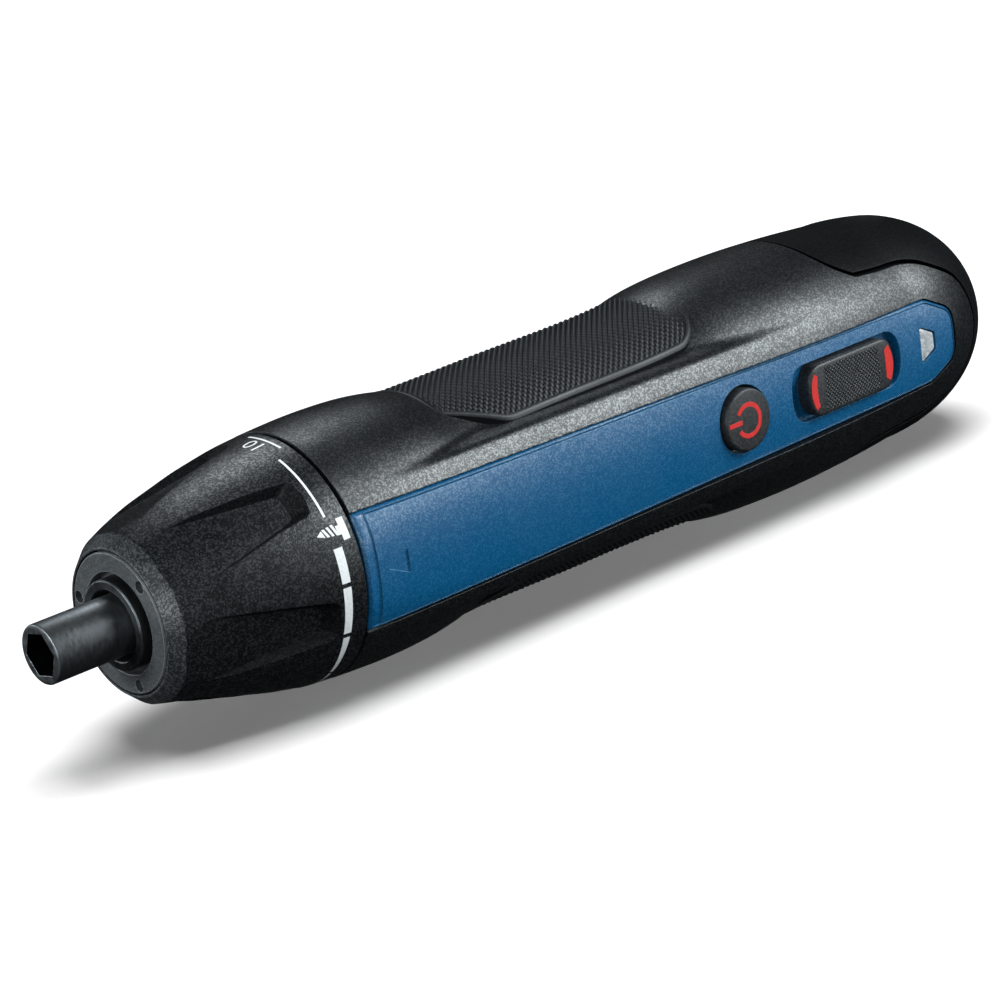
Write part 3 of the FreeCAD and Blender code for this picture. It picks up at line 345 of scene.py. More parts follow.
def makeLattice():
    # slanted rows of small bumps, as on the grip pads; its height only darkens the colour between the bumps, a
    # painted shade
    group, entry, leave = newGroup("gripLattice", {"Skew": 0.97, "Row Pitch": 0.861 * mm,
                                                   "Bump Pitch": 1.0 * mm, "Radius": 19.3 * mm}, ("Height",))
    split = splitPlace(group)
    calc = partial(mathNode, group)
    along = calc("ADD", split.outputs["X"], axisPlace["tip"] * mm)
    lean = calc("ARCSINE", calc("DIVIDE", split.outputs["Y"], entry.outputs["Radius"]))
    arc = calc("MULTIPLY", lean, entry.outputs["Radius"])
    square = calc("POWER", entry.outputs["Skew"], 2.0)
    size = calc("SQRT", calc("ADD", square, 1.0))
    across = calc("SUBTRACT", along, calc("MULTIPLY", arc, entry.outputs["Skew"]))
    down = calc("ADD", calc("MULTIPLY", along, entry.outputs["Skew"]), arc)
    waves = []
    for way, pitch in ((across, "Row Pitch"), (down, "Bump Pitch")):
        turns = calc("DIVIDE", calc("DIVIDE", way, size), entry.outputs[pitch])
        wave = calc("COSINE", calc("MULTIPLY", turns, 2 * math.pi))
        waves.append(calc("ADD", calc("MULTIPLY", wave, 0.5), 0.5))
    bump = calc("ADD", calc("MULTIPLY", waves[1], 0.8), 0.2)
    group.links.new(calc("MULTIPLY", waves[0], bump), leave.inputs["Height"])
    return group


grainGroup = makeGrain()
edgeGroup = makeEdge()
knurlGroup = makeKnurl()
latticeGroup = makeLattice()


def useGroup(tree, group, **values):
    node = addNode(tree, "ShaderNodeGroup", node_tree=group)
    feed(tree, node, values)
    return node


def mixColour(tree, amount, first, second):
    node = addNode(tree, "ShaderNodeMix", data_type="RGBA")
    first, second = [(*tone, 1) if isinstance(tone, tuple) else tone for tone in (first, second)]
    feed(tree, node, {"Factor": amount, 6: first, 7: second})
    return node.outputs[2]


def newMaterial(name):
    material = bpy.data.materials.new(name)
    material.use_nodes = True
    return material, material.node_tree, material.node_tree.nodes["Principled BSDF"]


def endFinish(tree, shader, look, colour, wear, rough, height):
    # wear and painted highlight on the edges, painted shade in the grip's grooves, then colour, roughness and
    # bump into the shader
    edge = useGroup(tree, edgeGroup, Radius=look["edge"] * mm)
    # edges are lightened: partly wear, partly a painted edge highlight
    colour = mixColour(tree, mathNode(tree, "MULTIPLY", edge.outputs["Mask"], look["wearShare"]), colour, wear)
    # painted shade: the groove colour darkens the colour between the grip's lattice bumps
    if look["groove"]:
        lattice = useGroup(tree, latticeGroup)
        colour = mixColour(tree, rangeNode(tree, lattice.outputs["Height"], 0.1, 0.6), look["groove"], colour)
    bump = addNode(tree, "ShaderNodeBump")
    feed(tree, bump, {"Strength": look["bump"], "Distance": look["relief"] * mm, "Height": height,
                      "Normal": edge.outputs["Normal"]})
    feed(tree, shader, {"Base Color": colour, "Roughness": rough, "Normal": bump.outputs["Normal"]})


mouldLook = {"fleckShare": 0.4, "edge": 0.2, "wearShare": 0.25, "specular": 0.5, "bump": 1.0, "relief": 0.06,
             "sparkle": 0.0,
             "knurl": 0.0, "groove": None, "roughRange": 0.04, "knurlShare": 3.0}
metalLook = {"edge": 0.15, "wearShare": 0.5, "relief": 0.02, "groove": None, "roughRange": 0.07,
             "stretch": (9.0, 1.0, 1.0)}


def makeFinish(name, base, fleck, wear, **look):
    # moulded plastic, rubber or ink: base, fleck and edge colours (edge wear and painted edge highlight),
    # roughness, grain and bump
    look = mouldLook | look
    material, tree, shader = newMaterial(name)
    grain = useGroup(tree, grainGroup, Scale=look["grain"])
    flecks = mathNode(tree, "MULTIPLY", grain.outputs["Fleck"], look["fleckShare"])
    colour = mixColour(tree, flecks, base, fleck)
    rough = rangeNode(tree, grain.outputs["Blotch"], 0.0, 1.0, look["rough"] - look["roughRange"],
                      look["rough"] + look["roughRange"])
    shader.inputs["Specular IOR Level"].default_value = look["specular"]
    if look["sparkle"]:
        sparkle = mathNode(tree, "MULTIPLY", grain.outputs["Fleck"], look["sparkle"])
        feed(tree, shader, {"Coat Weight": sparkle, "Coat Roughness": look["rough"]})
    height = grain.outputs["Height"]
    if look["knurl"]:
        knurl = useGroup(tree, knurlGroup, Pitch=look["knurl"] * mm)
        ridges = mathNode(tree, "MULTIPLY", knurl.outputs["Height"], look["knurlShare"])
        height = mathNode(tree, "ADD", ridges, height)
    endFinish(tree, shader, look, colour, wear, rough, height)
    return material


def makeMetal(name, base, fleck, wear, **look):
    # turned or plated metal, streaked round the tool's axis
    look = metalLook | look
    material, tree, shader = newMaterial(name)
    stretch = addNode(tree, "ShaderNodeMapping")
    feed(tree, stretch, {"Scale": look["stretch"], "Vector": ownPlace(tree)})
    streak = noiseNode(tree, stretch.outputs["Vector"], look["grain"], 3.0)
    colour = mixColour(tree, streak, base, fleck)
    rough = rangeNode(tree, streak, 0.3, 0.7, look["rough"] - look["roughRange"],
                      look["rough"] + look["roughRange"])
    shader.inputs["Metallic"].default_value = 1.0
    endFinish(tree, shader, look, colour, wear, rough, streak)
    return material


def dress(piece, material, body):
    piece.data.materials.clear()
    piece.data.materials.append(material)
    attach(piece, body)


def settle(piece, degrees, material, body, node):
    softShade(piece, degrees)
    dress(piece, material, body)
    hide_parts(node)


housingFinish = makeFinish("charcoalMould", (0.004, 0.0045, 0.0052), (0.03, 0.033, 0.036), (0.03, 0.032, 0.035),
    rough=0.34, grain=4500.0, relief=0.012, edge=0.25, specular=0.3, sparkle=0.85)
coverFinish = makeFinish("blackMould", (0.0035, 0.0038, 0.0042), (0.012, 0.013, 0.0145), (0.02, 0.021, 0.023),
    fleckShare=0.5, rough=0.45, grain=5000.0, bump=0.8, relief=0.008, edge=0.25, specular=0.06, sparkle=0.06)
collarFinish = makeFinish("collarMould", (0.0035, 0.0039, 0.0045), (0.04, 0.042, 0.045), (0.03, 0.032, 0.034),
    fleckShare=0.45, rough=0.35, grain=4300.0, relief=0.014, edge=0.3, specular=0.25, sparkle=1.0)
# painted shade: a darker copy of the collar plastic for the flute walls
fluteShadeFinish = makeFinish("fluteShadeMould", (0.0025, 0.0028, 0.0032), (0.015, 0.016, 0.017), (0.02, 0.021, 0.022),
    rough=0.42, grain=4300.0, relief=0.012, edge=0.3, specular=0.08, sparkle=0.2)
# painted highlight: a lighter copy of the collar plastic for the front rim band
rimHighlightFinish = makeFinish("rimHighlightMould", (0.012, 0.0127, 0.014), (0.1, 0.105, 0.11), (0.1, 0.105, 0.11),
    fleckShare=0.5, rough=0.38, grain=4700.0, relief=0.012, specular=0.35, sparkle=0.8)
# painted reflection: the nose ring is coloured lighter to stand in for the floor's reflection
noseReflectionFinish = makeFinish("noseReflectionMould", (0.035, 0.037, 0.04), (0.1, 0.105, 0.11), (0.45, 0.46, 0.47),
    fleckShare=0.5, rough=0.4, grain=4700.0, bump=0.8, relief=0.01, edge=0.12, wearShare=0.6)
panelFinish = makeFinish("blueMould", (0.001, 0.074, 0.185), (0.02, 0.2, 0.4), (0.08, 0.32, 0.54),
    fleckShare=0.25, rough=0.34, grain=4500.0, relief=0.012, specular=0.32, sparkle=1.0)
# its groove colour is painted shade between the lattice bumps
rubberFinish = makeFinish("gripRubber", (0.02, 0.0214, 0.0234), (0.06, 0.064, 0.068), (0.02, 0.021, 0.023),
    rough=0.42, grain=5200.0, bump=0.15, relief=0.03, edge=0.05, specular=0.2, groove=(0.001, 0.001, 0.0012))
padRimFinish = makeFinish("gripRim", (0.012, 0.013, 0.014), (0.04, 0.042, 0.045), (0.03, 0.031, 0.033),
    rough=0.42, grain=4800.0, bump=0.2, relief=0.03, edge=0.1, specular=0.3)
# painted shade: near-black finish for the pads' side walls
padWallShadeFinish = makeFinish("gripWallShade", (0.0015, 0.0016, 0.0018), (0.004, 0.0042, 0.0045),
    (0.004, 0.0042, 0.0045), rough=0.6, grain=4800.0, bump=0.2, relief=0.03, edge=0.1, specular=0.05)
keyFinish = makeFinish("keyBlack", (0.01, 0.0105, 0.0115), (0.06, 0.062, 0.065), (0.1, 0.104, 0.11),
    fleckShare=0.5, rough=0.45, grain=4000.0, bump=0.4, relief=0.04, edge=0.25)
knurlFinish = makeFinish("keyKnurl", (0.008, 0.0085, 0.0095), (0.04, 0.042, 0.045), (0.06, 0.062, 0.066),
    rough=0.45, grain=4000.0, bump=0.6, relief=0.08, edge=0.1, knurl=0.8)
redFinish = makeFinish("redInk", (0.58, 0.015, 0.012), (0.75, 0.04, 0.03), (0.68, 0.05, 0.04), rough=0.5,
    grain=3000.0, bump=0.15, relief=0.03, edge=0.05)
whiteFinish = makeFinish("whiteInk", (0.85, 0.85, 0.85), (0.65, 0.65, 0.65), (0.85, 0.85, 0.85), rough=0.55,
    grain=3000.0, bump=0.15, relief=0.03, edge=0.02)
windowFinish = makeFinish("frostedWindow", (0.36, 0.37, 0.38), (0.6, 0.61, 0.62), (0.85, 0.86, 0.87),
    fleckShare=0.7, rough=0.25, grain=900.0, bump=0.5, relief=0.15, wearShare=0.8)
steelFinish = makeMetal("blackSteel", (0.13, 0.137, 0.145), (0.19, 0.197, 0.207), (0.5, 0.51, 0.53), rough=0.42,
    grain=700.0, bump=0.25)
# painted shade: near-black finish inside the hex socket of the steel spindle
socketShadeFinish = makeMetal("socketShade", (0.006, 0.0062, 0.0066), (0.012, 0.0124, 0.013), (0.02, 0.021, 0.022),
    rough=0.5, grain=900.0, bump=0.2)
bushFinish = makeMetal("greySteel", (0.06, 0.064, 0.068), (0.1, 0.105, 0.11), (0.5, 0.51, 0.53), rough=0.42,
    grain=800.0, bump=0.25, edge=0.1)
print("finishes made")

# outer skin of the housing and the tail cover

skin = {"start": 46.2, "run": 155.8, "bulge": 21.6, "taper": 1.6, "tail": 202.0, "domePower": 2.3,
        "stationShares": (0.0, 0.05, 0.104, 0.22, 0.36, 0.5, 0.615, 0.68, 0.75, 0.82),
        "dropShares": (1.0, 0.756, 0.621, 0.513, 0.378, 0.162, 0.0, 0.095, 0.351, 0.81)}


def stationsOf(shape):
    return [shape["start"] + shape["run"] * share for share in shape["stationShares"]]


skinLine = splineThrough(stationsOf(skin),
                         [skin["bulge"] - skin["taper"] * drop for drop in skin["dropShares"]])
domeStart = stationsOf(skin)[-1]
domeRun = skin["tail"] - domeStart


def skinRadius(station):
    share = np.clip((station - domeStart) / domeRun, 0, 1)
    power = skin["domePower"]
    dome = skinLine(domeStart) * (1 - share ** power) ** (1 / power)
    return np.where(station > domeStart, dome, skinLine(station))


scoop = {"start": 58.0, "run": 86.0, "floor": 17.3, "rise": 4.3, "ridge": 1.5, "root": 1.2,
         "stationShares": (0.0, 0.07, 0.15, 0.23, 0.31, 0.44, 0.58, 0.67, 0.745, 0.82, 0.9, 1.0),
         "heightShares": (0.9, 0.74, 0.45, 0.17, 0.03, 0.0, 0.0, 0.1, 0.38, 0.73, 0.96, 1.12),
         "flankTurns": (0.362, 0.412, 0.46, 0.507, 0.563, 0.65, 0.8, 1.0),
         "flankShares": (1.31, 1.19, 1.09, 1.02, 0.985, 0.97, 0.965, 0.965)}
floorLine = splineThrough(stationsOf(scoop),
                          [scoop["floor"] + scoop["rise"] * h for h in scoop["heightShares"]])
flankLine = splineThrough(scoop["flankTurns"],
                          [scoop["floor"] * share for share in scoop["flankShares"]])
belly = {"frontDrop": 20.0, "waist": 72.0, "rearDrop": 20.6, "bulgeStation": 142.0, "lean": 0.01746}
bore = {"radius": 15.0, "end": 188.0, "tailEnd": 197.0, "tailRadius": 9.0}


def bodyRadius(station, side, up):
    turn = np.arctan2(np.abs(up), np.abs(side)) / (math.pi / 2)
    hollow = softMax(floorLine(station), flankLine(turn), scoop["root"])
    return softMin(skinRadius(station), hollow, scoop["ridge"])


def bellyDepth(station):
    # the flat that the tool lies on leans up from the front edge and from a line across the bulge
    front = belly["frontDrop"] - (station - skin["start"]) * belly["lean"]
    rear = belly["rearDrop"] - np.abs(station - belly["bulgeStation"]) * belly["lean"]
    return np.where(station < belly["waist"], front, rear)


shellMesh = {"turns": 256, "boreTurns": 96, "domeRings": 44, "fine": (57, 148), "fineStep": 0.7, "step": 1.0,
             "clear": 0.2, "bellyBlend": 0.1}


def makeShell(name):
    dome = domeStart + domeRun * np.sin(np.linspace(0, 1, shellMesh["domeRings"]) * math.pi / 2)
    low, high = shellMesh["fine"]
    along = np.concatenate([np.arange(skin["start"], low, shellMesh["step"]),
                            np.arange(low, high, shellMesh["fineStep"]),
                            np.arange(high, domeStart, shellMesh["step"]), dome])
    profile = [(s, float(skinRadius(s))) for s in along]
    profile[-1] = (skin["tail"], 0)
    mouth = (skin["start"], bore["radius"])
    outer = turnProfile(name, [mouth] + profile, shellMesh["turns"])
    inner = turnProfile(name + "Bore", [(bore["tailEnd"], 0), (bore["tailEnd"], bore["tailRadius"]),
                                        (bore["end"], bore["radius"]), mouth], shellMesh["boreTurns"])
    s, y, z = readSpots(outer)
    r = np.hypot(y, z)
    onSkin = r > bore["radius"] + shellMesh["clear"]
    wanted = np.where(onSkin, bodyRadius(s, y, z), r)
    grown = np.where(r > 1e-6, wanted / np.maximum(r, 1e-6), 1)
    grown = np.where(s > domeStart, np.minimum(grown, 1), grown)
    z = z * grown
    z = np.where(onSkin, softMax(z, -bellyDepth(s), shellMesh["bellyBlend"]), z)
    writeSpots(outer, s, y * grown, z)
    takeUp(outer)
    inner.select_set(True)
    bpy.ops.object.join()
    editAll()
    bpy.ops.mesh.remove_doubles(threshold=weldGap)
    bpy.ops.mesh.select_all(action="DESELECT")
    bpy.ops.mesh.select_non_manifold()
    bpy.ops.mesh.bridge_edge_loops()  # the open front ring between the skin and the bore
    faceOutward()
    return outer


seam = {"start": 144.0, "run": 58.0, "gap": 0.7, "corner": 3, "ahead": 20.0, "rearSteps": 60, "riseSteps": 16,
        "reach": 40.0,
        "stationShares": (0.22, 0.245, 0.264, 0.34, 0.452, 0.609, 0.676, 0.752, 0.785, 0.8),
        "heightShares": (1.2, 0.93, 0.838, 0.676, 0.65, 0.597, 0.51, 0.375, 0.2, 0.0)}


def smoothRun(points, steps):
    spots = np.array(points, float)
    lengths = np.concatenate([[0], np.cumsum(np.linalg.norm(np.diff(spots, axis=0), axis=1))])
    lines = [splineThrough(lengths, spots[:, 0]), splineThrough(lengths, spots[:, 1])]
    return [tuple(line(u) for line in lines) for u in np.linspace(0, lengths[-1], steps)]


def seamOutline(grow):
    upper = [(s, skin["bulge"] * up) for s, up in zip(stationsOf(seam), seam["heightShares"])]
    corner = seam["corner"]
    lower = [(s, -z) for s, z in reversed(upper)]
    rear = smoothRun(upper[corner:] + lower[1:len(lower) - corner], seam["rearSteps"])
    rise = smoothRun(upper[:corner + 1], seam["riseSteps"])
    line = rise[:-1] + rear + [(s, -z) for s, z in reversed(rise[:-1])]
    spots = np.array(line)
    along = np.gradient(spots, axis=0)
    outward = np.stack([along[:, 1], -along[:, 0]], axis=1)
    outward /= -np.linalg.norm(outward, axis=1)[:, None]
    spots = spots + outward * grow
    return [tuple(spot) for spot in spots] + [(seam["ahead"], spots[end][1]) for end in (-1, 0)]


def makeLobe(grow):
    reach = seam["reach"]
    return prism("lobe", [at(s, -reach, z) for s, z in seamOutline(grow)], Vector((0, 2 * reach * mm, 0)))


panel = {"front": 46.2, "rear": 176.4, "end": 182.8, "frontHalf": 9.4, "rearHalf": 7.6, "endHalf": 4.4,
         "corner": 3.2, "face": 19.7, "back": 17.3, "crown": 46.0, "gap": 0.1, "strip": 1.5,
         "strips": (1.4, 0.9), "dip": 0.25, "dipEnd": 48.2, "dipRun": 2.0, "skinGap": 0.05, "blend": 0.3,
         "pointerDeep": 0.3, "backDeep": 13.0, "hem": 0.5, "frontBand": 2.0, "rim": ((0.2, 0.22), (0.2, 0.1)),
         "groove": ((0.07, -0.32), (0.14, 0.0), (0.1, 0.28)), "well": (11.2, 29.0),
         "pointer": ((50.3, -0.4), (54.4, 1.6), (54.4, -2.2))}
button = {"station": 128.5, "radius": 5.3, "hole": 5.8, "rise": 1.0, "round": 0.45, "flange": 6.8, "well": 7.4,
          "foot": 0.9, "stem": 1.6, "stemEnd": 14.8}
slider = {"key": (19.0, 4.5, 2.7), "well": (26.9, 5.1, 3.5),  # length, half height, corner of each oblong
          "foot": (22.0, 5.6, 2.7), "slot": (28.4, 6.0, 2.7), "station": 154.2, "bow": 1.3, "rise": 1.2,
          "round": 0.5, "wellFloor": 18.1, "wellLean": (0.93, 0.97), "leanFrom": 20.0, "slotTop": 19.0,
          "stem": (5.2, 2.2), "stemDeep": 0.5, "travel": 2.7, "play": 0.3, "lift": 0.05,
          "footRange": (1.0, 0.06), "knurl": (6.9, 3.7, 0.6), "knurlRise": 0.03}
window = {"start": 173.6, "length": 3.7, "half": 3.3, "nib": 1.5, "depth": 4.4, "sink": 0.25, "round": 0.35,
          "corners": (0.45, 0.45, 0.7, 0.7)}


def boxOutline(left, right, half):
    return [(left, -half), (right, -half), (right, half), (left, half)]


def circle(middle, radius, steps):
    turns = [2 * math.pi * step / steps for step in range(steps)]
    return [(middle[0] + radius * math.cos(turn), middle[1] + radius * math.sin(turn)) for turn in turns]


def panelOutline(grow):
    half = [panel[part + "Half"] + grow for part in ("front", "rear", "end")]
    along = [panel["front"] - grow, panel["rear"], panel["end"] + grow]
    corners = list(zip(along, half))
    corners += [(s, -h) for s, h in reversed(corners)]
    bend = panel["corner"] + grow
    return roundCorners(corners, [0, bend, bend, bend, bend, 0], 6)


def oblongOutline(part):
    # long sides straight, ends bowed, the four corners rounded
    length, half, bend = slider[part]
    bow = slider["bow"]
    radius = (half ** 2 + bow ** 2) / (2 * bow)
    swing = math.asin((half - bend) / (radius - bend))
    points = []
    for way in (1, -1):
        middle = slider["station"] + way * (length / 2 + bow - radius)
        inner = middle + way * (radius - bend) * math.cos(swing)
        leans = [math.pi / 2 + (swing - math.pi / 2) * step / 6 for step in range(6)]
        corner = [(inner + way * bend * math.cos(lean), way * (half - bend + bend * math.sin(lean)))
                  for lean in leans]
        points += corner
        for step in range(13):
            lean = way * swing * (1 - 2 * step / 12)
            points.append((middle + way * radius * math.cos(lean), radius * math.sin(lean)))
        points += [(s, -z) for s, z in reversed(corner)]
    return points


def windowOutline(grow):
    low = window["start"] - grow
    high = window["start"] + window["length"] + grow
    tall = window["half"] + grow
    nib = window["nib"] + grow
    return roundCorners([(low, -tall), (low, tall), (high, nib), (high, -nib)], window["corners"], 4)


def sidePrism(name, outline, near, far):
    return prism(name, [at(s, -far, z) for s, z in outline], Vector((0, (far - near) * mm, 0)))


def buttonDisc(name, part, steps, near, far):
    return sidePrism(name, circle((button["station"], 0), button[part], steps), near, far)


def makeHousing():
    piece = makeShell("housingShell")
    carve(piece, makeLobe(0), "INTERSECT")
    bed = sidePrism("bed", panelOutline(panel["gap"]), panel["back"], cutReach["far"])
    near, far = panel["well"]
    for well in (buttonDisc("buttonWell", "well", 48, near, far),
                 sidePrism("sliderSlot", oblongOutline("slot"), near, far),
                 sidePrism("windowSlot", windowOutline(panel["gap"]), near, far)):
        carve(bed, well, "UNION")
    carve(piece, bed)
    back = prism("backBed", [at(s, panel["back"], z) for s, z in panelOutline(panel["gap"])],
                 Vector((0, panel["backDeep"] * mm, 0)))
    carve(piece, back)
    settle(piece, 32, housingFinish, "body", "housing")
    return piece


dimple = {"station": 181.5, "floor": 18.3, "ball": 30.0}
port = {"start": 189.4, "halfWidth": 4.8, "halfHeight": 1.95, "corner": 1.6, "deep": 30.0}


def makeTailCover():
    piece = makeShell("tailShell")
    carve(piece, makeLobe(seam["gap"]))
    clearSelection()
    ball = dimple["ball"]
    bpy.ops.mesh.primitive_uv_sphere_add(segments=192, ring_count=128, radius=ball * mm,
                                         location=at(dimple["station"], 0, dimple["floor"] + ball))
    carve(piece, newPiece("dimpleBall"))
    corners = roundCorners(boxOutline(-port["halfWidth"], port["halfWidth"], port["halfHeight"]),
                           [port["corner"]] * 4, 6)
    carve(piece, prism("port", [at(port["start"], y, z) for y, z in corners],
                       Vector((port["deep"] * mm, 0, 0))))
    settle(piece, 32, coverFinish, "body", "tail_cover")
    return piece


housing = makeHousing()
tailCover = makeTailCover()
print("housing and tail cover made", len(housing.data.polygons), len(tailCover.data.polygons))

# side panels


def bisectStrips(low, high, step, axis):
    count = int(round((high - low) / step))
    for index in range(1, count):
        place = low + (high - low) * index / count
        bpy.ops.mesh.select_all(action="SELECT")
        spot = at(place, 0, 0) if axis == 0 else at(0, 0, place)
        bpy.ops.mesh.bisect(plane_co=spot, plane_no=(1, 0, 0) if axis == 0 else (0, 0, 1))


def shiftFront(piece, amount):
    # the groove keeps farther from the panel's front edge than from its long edges
    setMode("OBJECT")
    s, y, z = readSpots(piece)
    chosen = np.array([vertex.select for vertex in piece.data.vertices])
    writeSpots(piece, np.where(chosen & (s < panel["front"] + panel["frontBand"]), s + amount, s), y, z)
    setMode("EDIT")


def makePanel(name, way):
    flat = cutReach["far"]
    piece = drawLine(name, [at(s, -flat, z) for s, z in panelOutline(-panel["gap"])])
    editAll()
    bpy.ops.mesh.edge_face_add()
    bpy.ops.mesh.normals_make_consistent(inside=False)
    sink = sum(drop for width, drop in panel["rim"])
    for index, (width, rise) in enumerate(panel["rim"] + panel["groove"]):
        bpy.ops.mesh.inset(thickness=width * mm, depth=0)
        bpy.ops.transform.translate(value=(0, -rise * mm, 0))
        if index == len(panel["rim"]):
            shiftFront(piece, panel["strip"])
    bisectStrips(panel["front"], panel["end"], panel["strips"][0], 0)
    bisectStrips(-panel["frontHalf"], panel["frontHalf"], panel["strips"][1], 2)
    setMode("OBJECT")
    s, y, z = readSpots(piece)
    crown = panel["face"] - panel["crown"] + np.sqrt(panel["crown"] ** 2 - z ** 2)
    hull = np.sqrt(np.maximum(skinRadius(s) ** 2 - z ** 2, 1)) - panel["skinGap"]
    dip = panel["dip"] * np.clip((panel["dipEnd"] - s) / panel["dipRun"], 0, 1)  # at the front edge
    outer = softMin(crown, hull, panel["blend"]) - dip
    writeSpots(piece, s, -(outer - (y + flat) - sink), z)
    editAll()
    bpy.ops.mesh.region_to_loop()
    bpy.ops.mesh.extrude_edges_move(TRANSFORM_OT_translate={"value": (0, panel["hem"] * mm, 0)})
    setMode("OBJECT")
    s, y, z = readSpots(piece)
    low = np.array([vertex.select for vertex in piece.data.vertices])
    writeSpots(piece, s, np.where(low, -panel["back"], y), z)
    setMode("EDIT")
    bpy.ops.mesh.edge_face_add()
    faceOutward()
    if way > 0:
        s, y, z = readSpots(piece)
        writeSpots(piece, s, -y, z)
        faceOutward()
    return piece


def stemOutline(longer, taller):
    half, tall = slider["stem"]
    station = slider["station"]
    return boxOutline(station - half - longer, station + half + longer, tall + taller)


def makeSidePanel():
    piece = makePanel("sidePanel", -1)
    near, far = cutReach["near"], cutReach["far"]
    floor = slider["wellFloor"]
    carve(piece, buttonDisc("hole", "hole", 72, near, far))
    well = sidePrism("well", oblongOutline("well"), floor, far)
    s, y, z = readSpots(well)
    deep = y > -slider["leanFrom"]
    middle = slider["station"]
    long, tall = slider["wellLean"]
    writeSpots(well, np.where(deep, middle + (s - middle) * long, s), y, np.where(deep, z * tall, z))
    carve(piece, well)
    carve(piece, sidePrism("stemSlot", stemOutline(slider["travel"], slider["play"]), near,
                            slider["slotTop"]))
    carve(piece, sidePrism("slot", windowOutline(panel["gap"]), near, far))
    carve(piece, sidePrism("pointer", panel["pointer"], panel["face"] - panel["pointerDeep"], far))
    settle(piece, 35, panelFinish, "body", "side_panel")
    return piece


sidePanel = makeSidePanel()
backPanel = makePanel("backPanel", 1)
settle(backPanel, 35, panelFinish, "body", "back_panel")
print("panels made", len(sidePanel.data.polygons))

# grip pads with slanted rows of fine bumps

pad = {"start": 72.0, "run": 56.0, "radius": 19.3,
       "corners": ((72.0, 9.4), (83.0, 14.1), (128.0, 14.1)), "bends": (2.5, 8.0, 6.5),
       "stationShares": (0.0, 0.2, 0.4, 0.6, 0.78, 0.9, 1.0),
       "radiusShares": (0.985, 0.99, 1.0, 1.003, 1.01, 1.025, 1.045),
       "skew": 0.97, "rowPitch": 0.861, "bumpPitch": 1.0, "rim": 0.55, "edge": 0.3, "deep": 2.2,
       "grid": (396, 230), "fieldBlend": 0.25, "rimRise": 0.12, "between": 0.2, "sink": 0.1, "wall": 0.6,
       "relief": 0.3, "lowRelief": 0.18}
padLine = splineThrough(stationsOf(pad), [pad["radius"] * share for share in pad["radiusShares"]])


def padOutline():
    corners = list(pad["corners"]) + [(s, -y) for s, y in reversed(pad["corners"])]
    return np.array(roundCorners(corners, pad["bends"] + pad["bends"][::-1], 10))


def edgeDistance(outline, s, y):
    nearest = np.full(len(s), 1e9)
    for here, after in zip(outline, np.roll(outline, -1, axis=0)):
        way = after - here
        share = np.clip(((s - here[0]) * way[0] + (y - here[1]) * way[1]) / max(way @ way, 1e-9), 0, 1)
        nearest = np.minimum(nearest, np.hypot(s - here[0] - share * way[0], y - here[1] - share * way[1]))
    return nearest


def makePad(name, way, relief):
    clearSelection()
    columns, rows = pad["grid"]
    bpy.ops.mesh.primitive_grid_add(x_subdivisions=columns, y_subdivisions=rows, size=1)
    piece = newPiece(name)
    u, v = rawSpots(piece).T[:2]
    s = pad["start"] + pad["run"] * (u + 0.5)
    outline = padOutline()
    upper = outline[outline[:, 1] > 1]
    upper = upper[np.argsort(upper[:, 0], kind="stable")]
    y = 2 * v * np.interp(s, upper[:, 0], upper[:, 1])
    inside = edgeDistance(outline, s, y)
    arc = pad["radius"] * np.arcsin(np.clip(y / pad["radius"], -1, 1))
    skew = pad["skew"]
    row, bump = [0.5 + 0.5 * np.cos(2 * math.pi * run / math.hypot(1, skew) / pad[pitch])
                 for run, pitch in ((s - skew * arc, "rowPitch"), (skew * s + arc, "bumpPitch"))]
    field = np.clip((inside - pad["rim"]) / pad["fieldBlend"], 0, 1)
    high = row * (pad["between"] + (1 - pad["between"]) * bump)
    lip = np.clip(1 - inside / pad["edge"], 0, 1)
    height = relief * (high - 1) * field + pad["rimRise"] * (1 - field)
    height = height - pad["edge"] * (1 - np.sqrt(1 - lip ** 2))
    r = padLine(s) + height - pad["sink"]
    writeSpots(piece, s, y, way * np.sqrt(np.maximum(r ** 2 - y ** 2, 1)))
    onRim = [np.mean(inside[list(polygon.vertices)]) < pad["rim"] for polygon in piece.data.polygons]
    piece.data.materials.append(rubberFinish)
    piece.data.materials.append(padRimFinish)
    piece.data.polygons.foreach_set("material_index", np.array(onRim, np.int32))
    editAll(piece)
    bpy.ops.mesh.region_to_loop()
    bpy.ops.mesh.extrude_edges_move(TRANSFORM_OT_translate={"value": (0, 0, -way * pad["deep"] * mm)})
    bpy.ops.mesh.edge_face_add()
    faceOutward()
    # the pad's side wall takes the painted shade
    piece.data.materials.append(padWallShadeFinish)
    for polygon in piece.data.polygons:
        s, r = faceSpot(polygon)[::3]
        if r < padLine(s) - pad["wall"]:
            polygon.material_index = 2
    softShade(piece, 60)
    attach(piece, "body")
    return piece


padTop = makePad("padTop", 1, pad["relief"])
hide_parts("grip_pad_top")
padBottom = makePad("padBottom", -1, pad["lowRelief"])
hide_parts("grip_pad_bottom")
print("pads made", len(padTop.data.polygons))

# controls in the panel


def bevelRim(piece, near, width, segments):
    # rounds the edges that lie in one plane of the key's face
    takeUp(piece)
    setMode("EDIT")
    bpy.ops.mesh.select_all(action="DESELECT")
    setMode("OBJECT")
    for edge in piece.data.edges:
        spots = [piece.data.vertices[index].co.y / mm for index in edge.vertices]
        edge.select = all(abs(spot + near) < samePlane for spot in spots)
    setMode("EDIT")
    bpy.ops.mesh.select_mode(type="EDGE")
    bpy.ops.mesh.bevel(offset=width * mm, segments=segments, affect="EDGES")
    bpy.ops.mesh.select_mode(type="VERT")
    faceOutward()


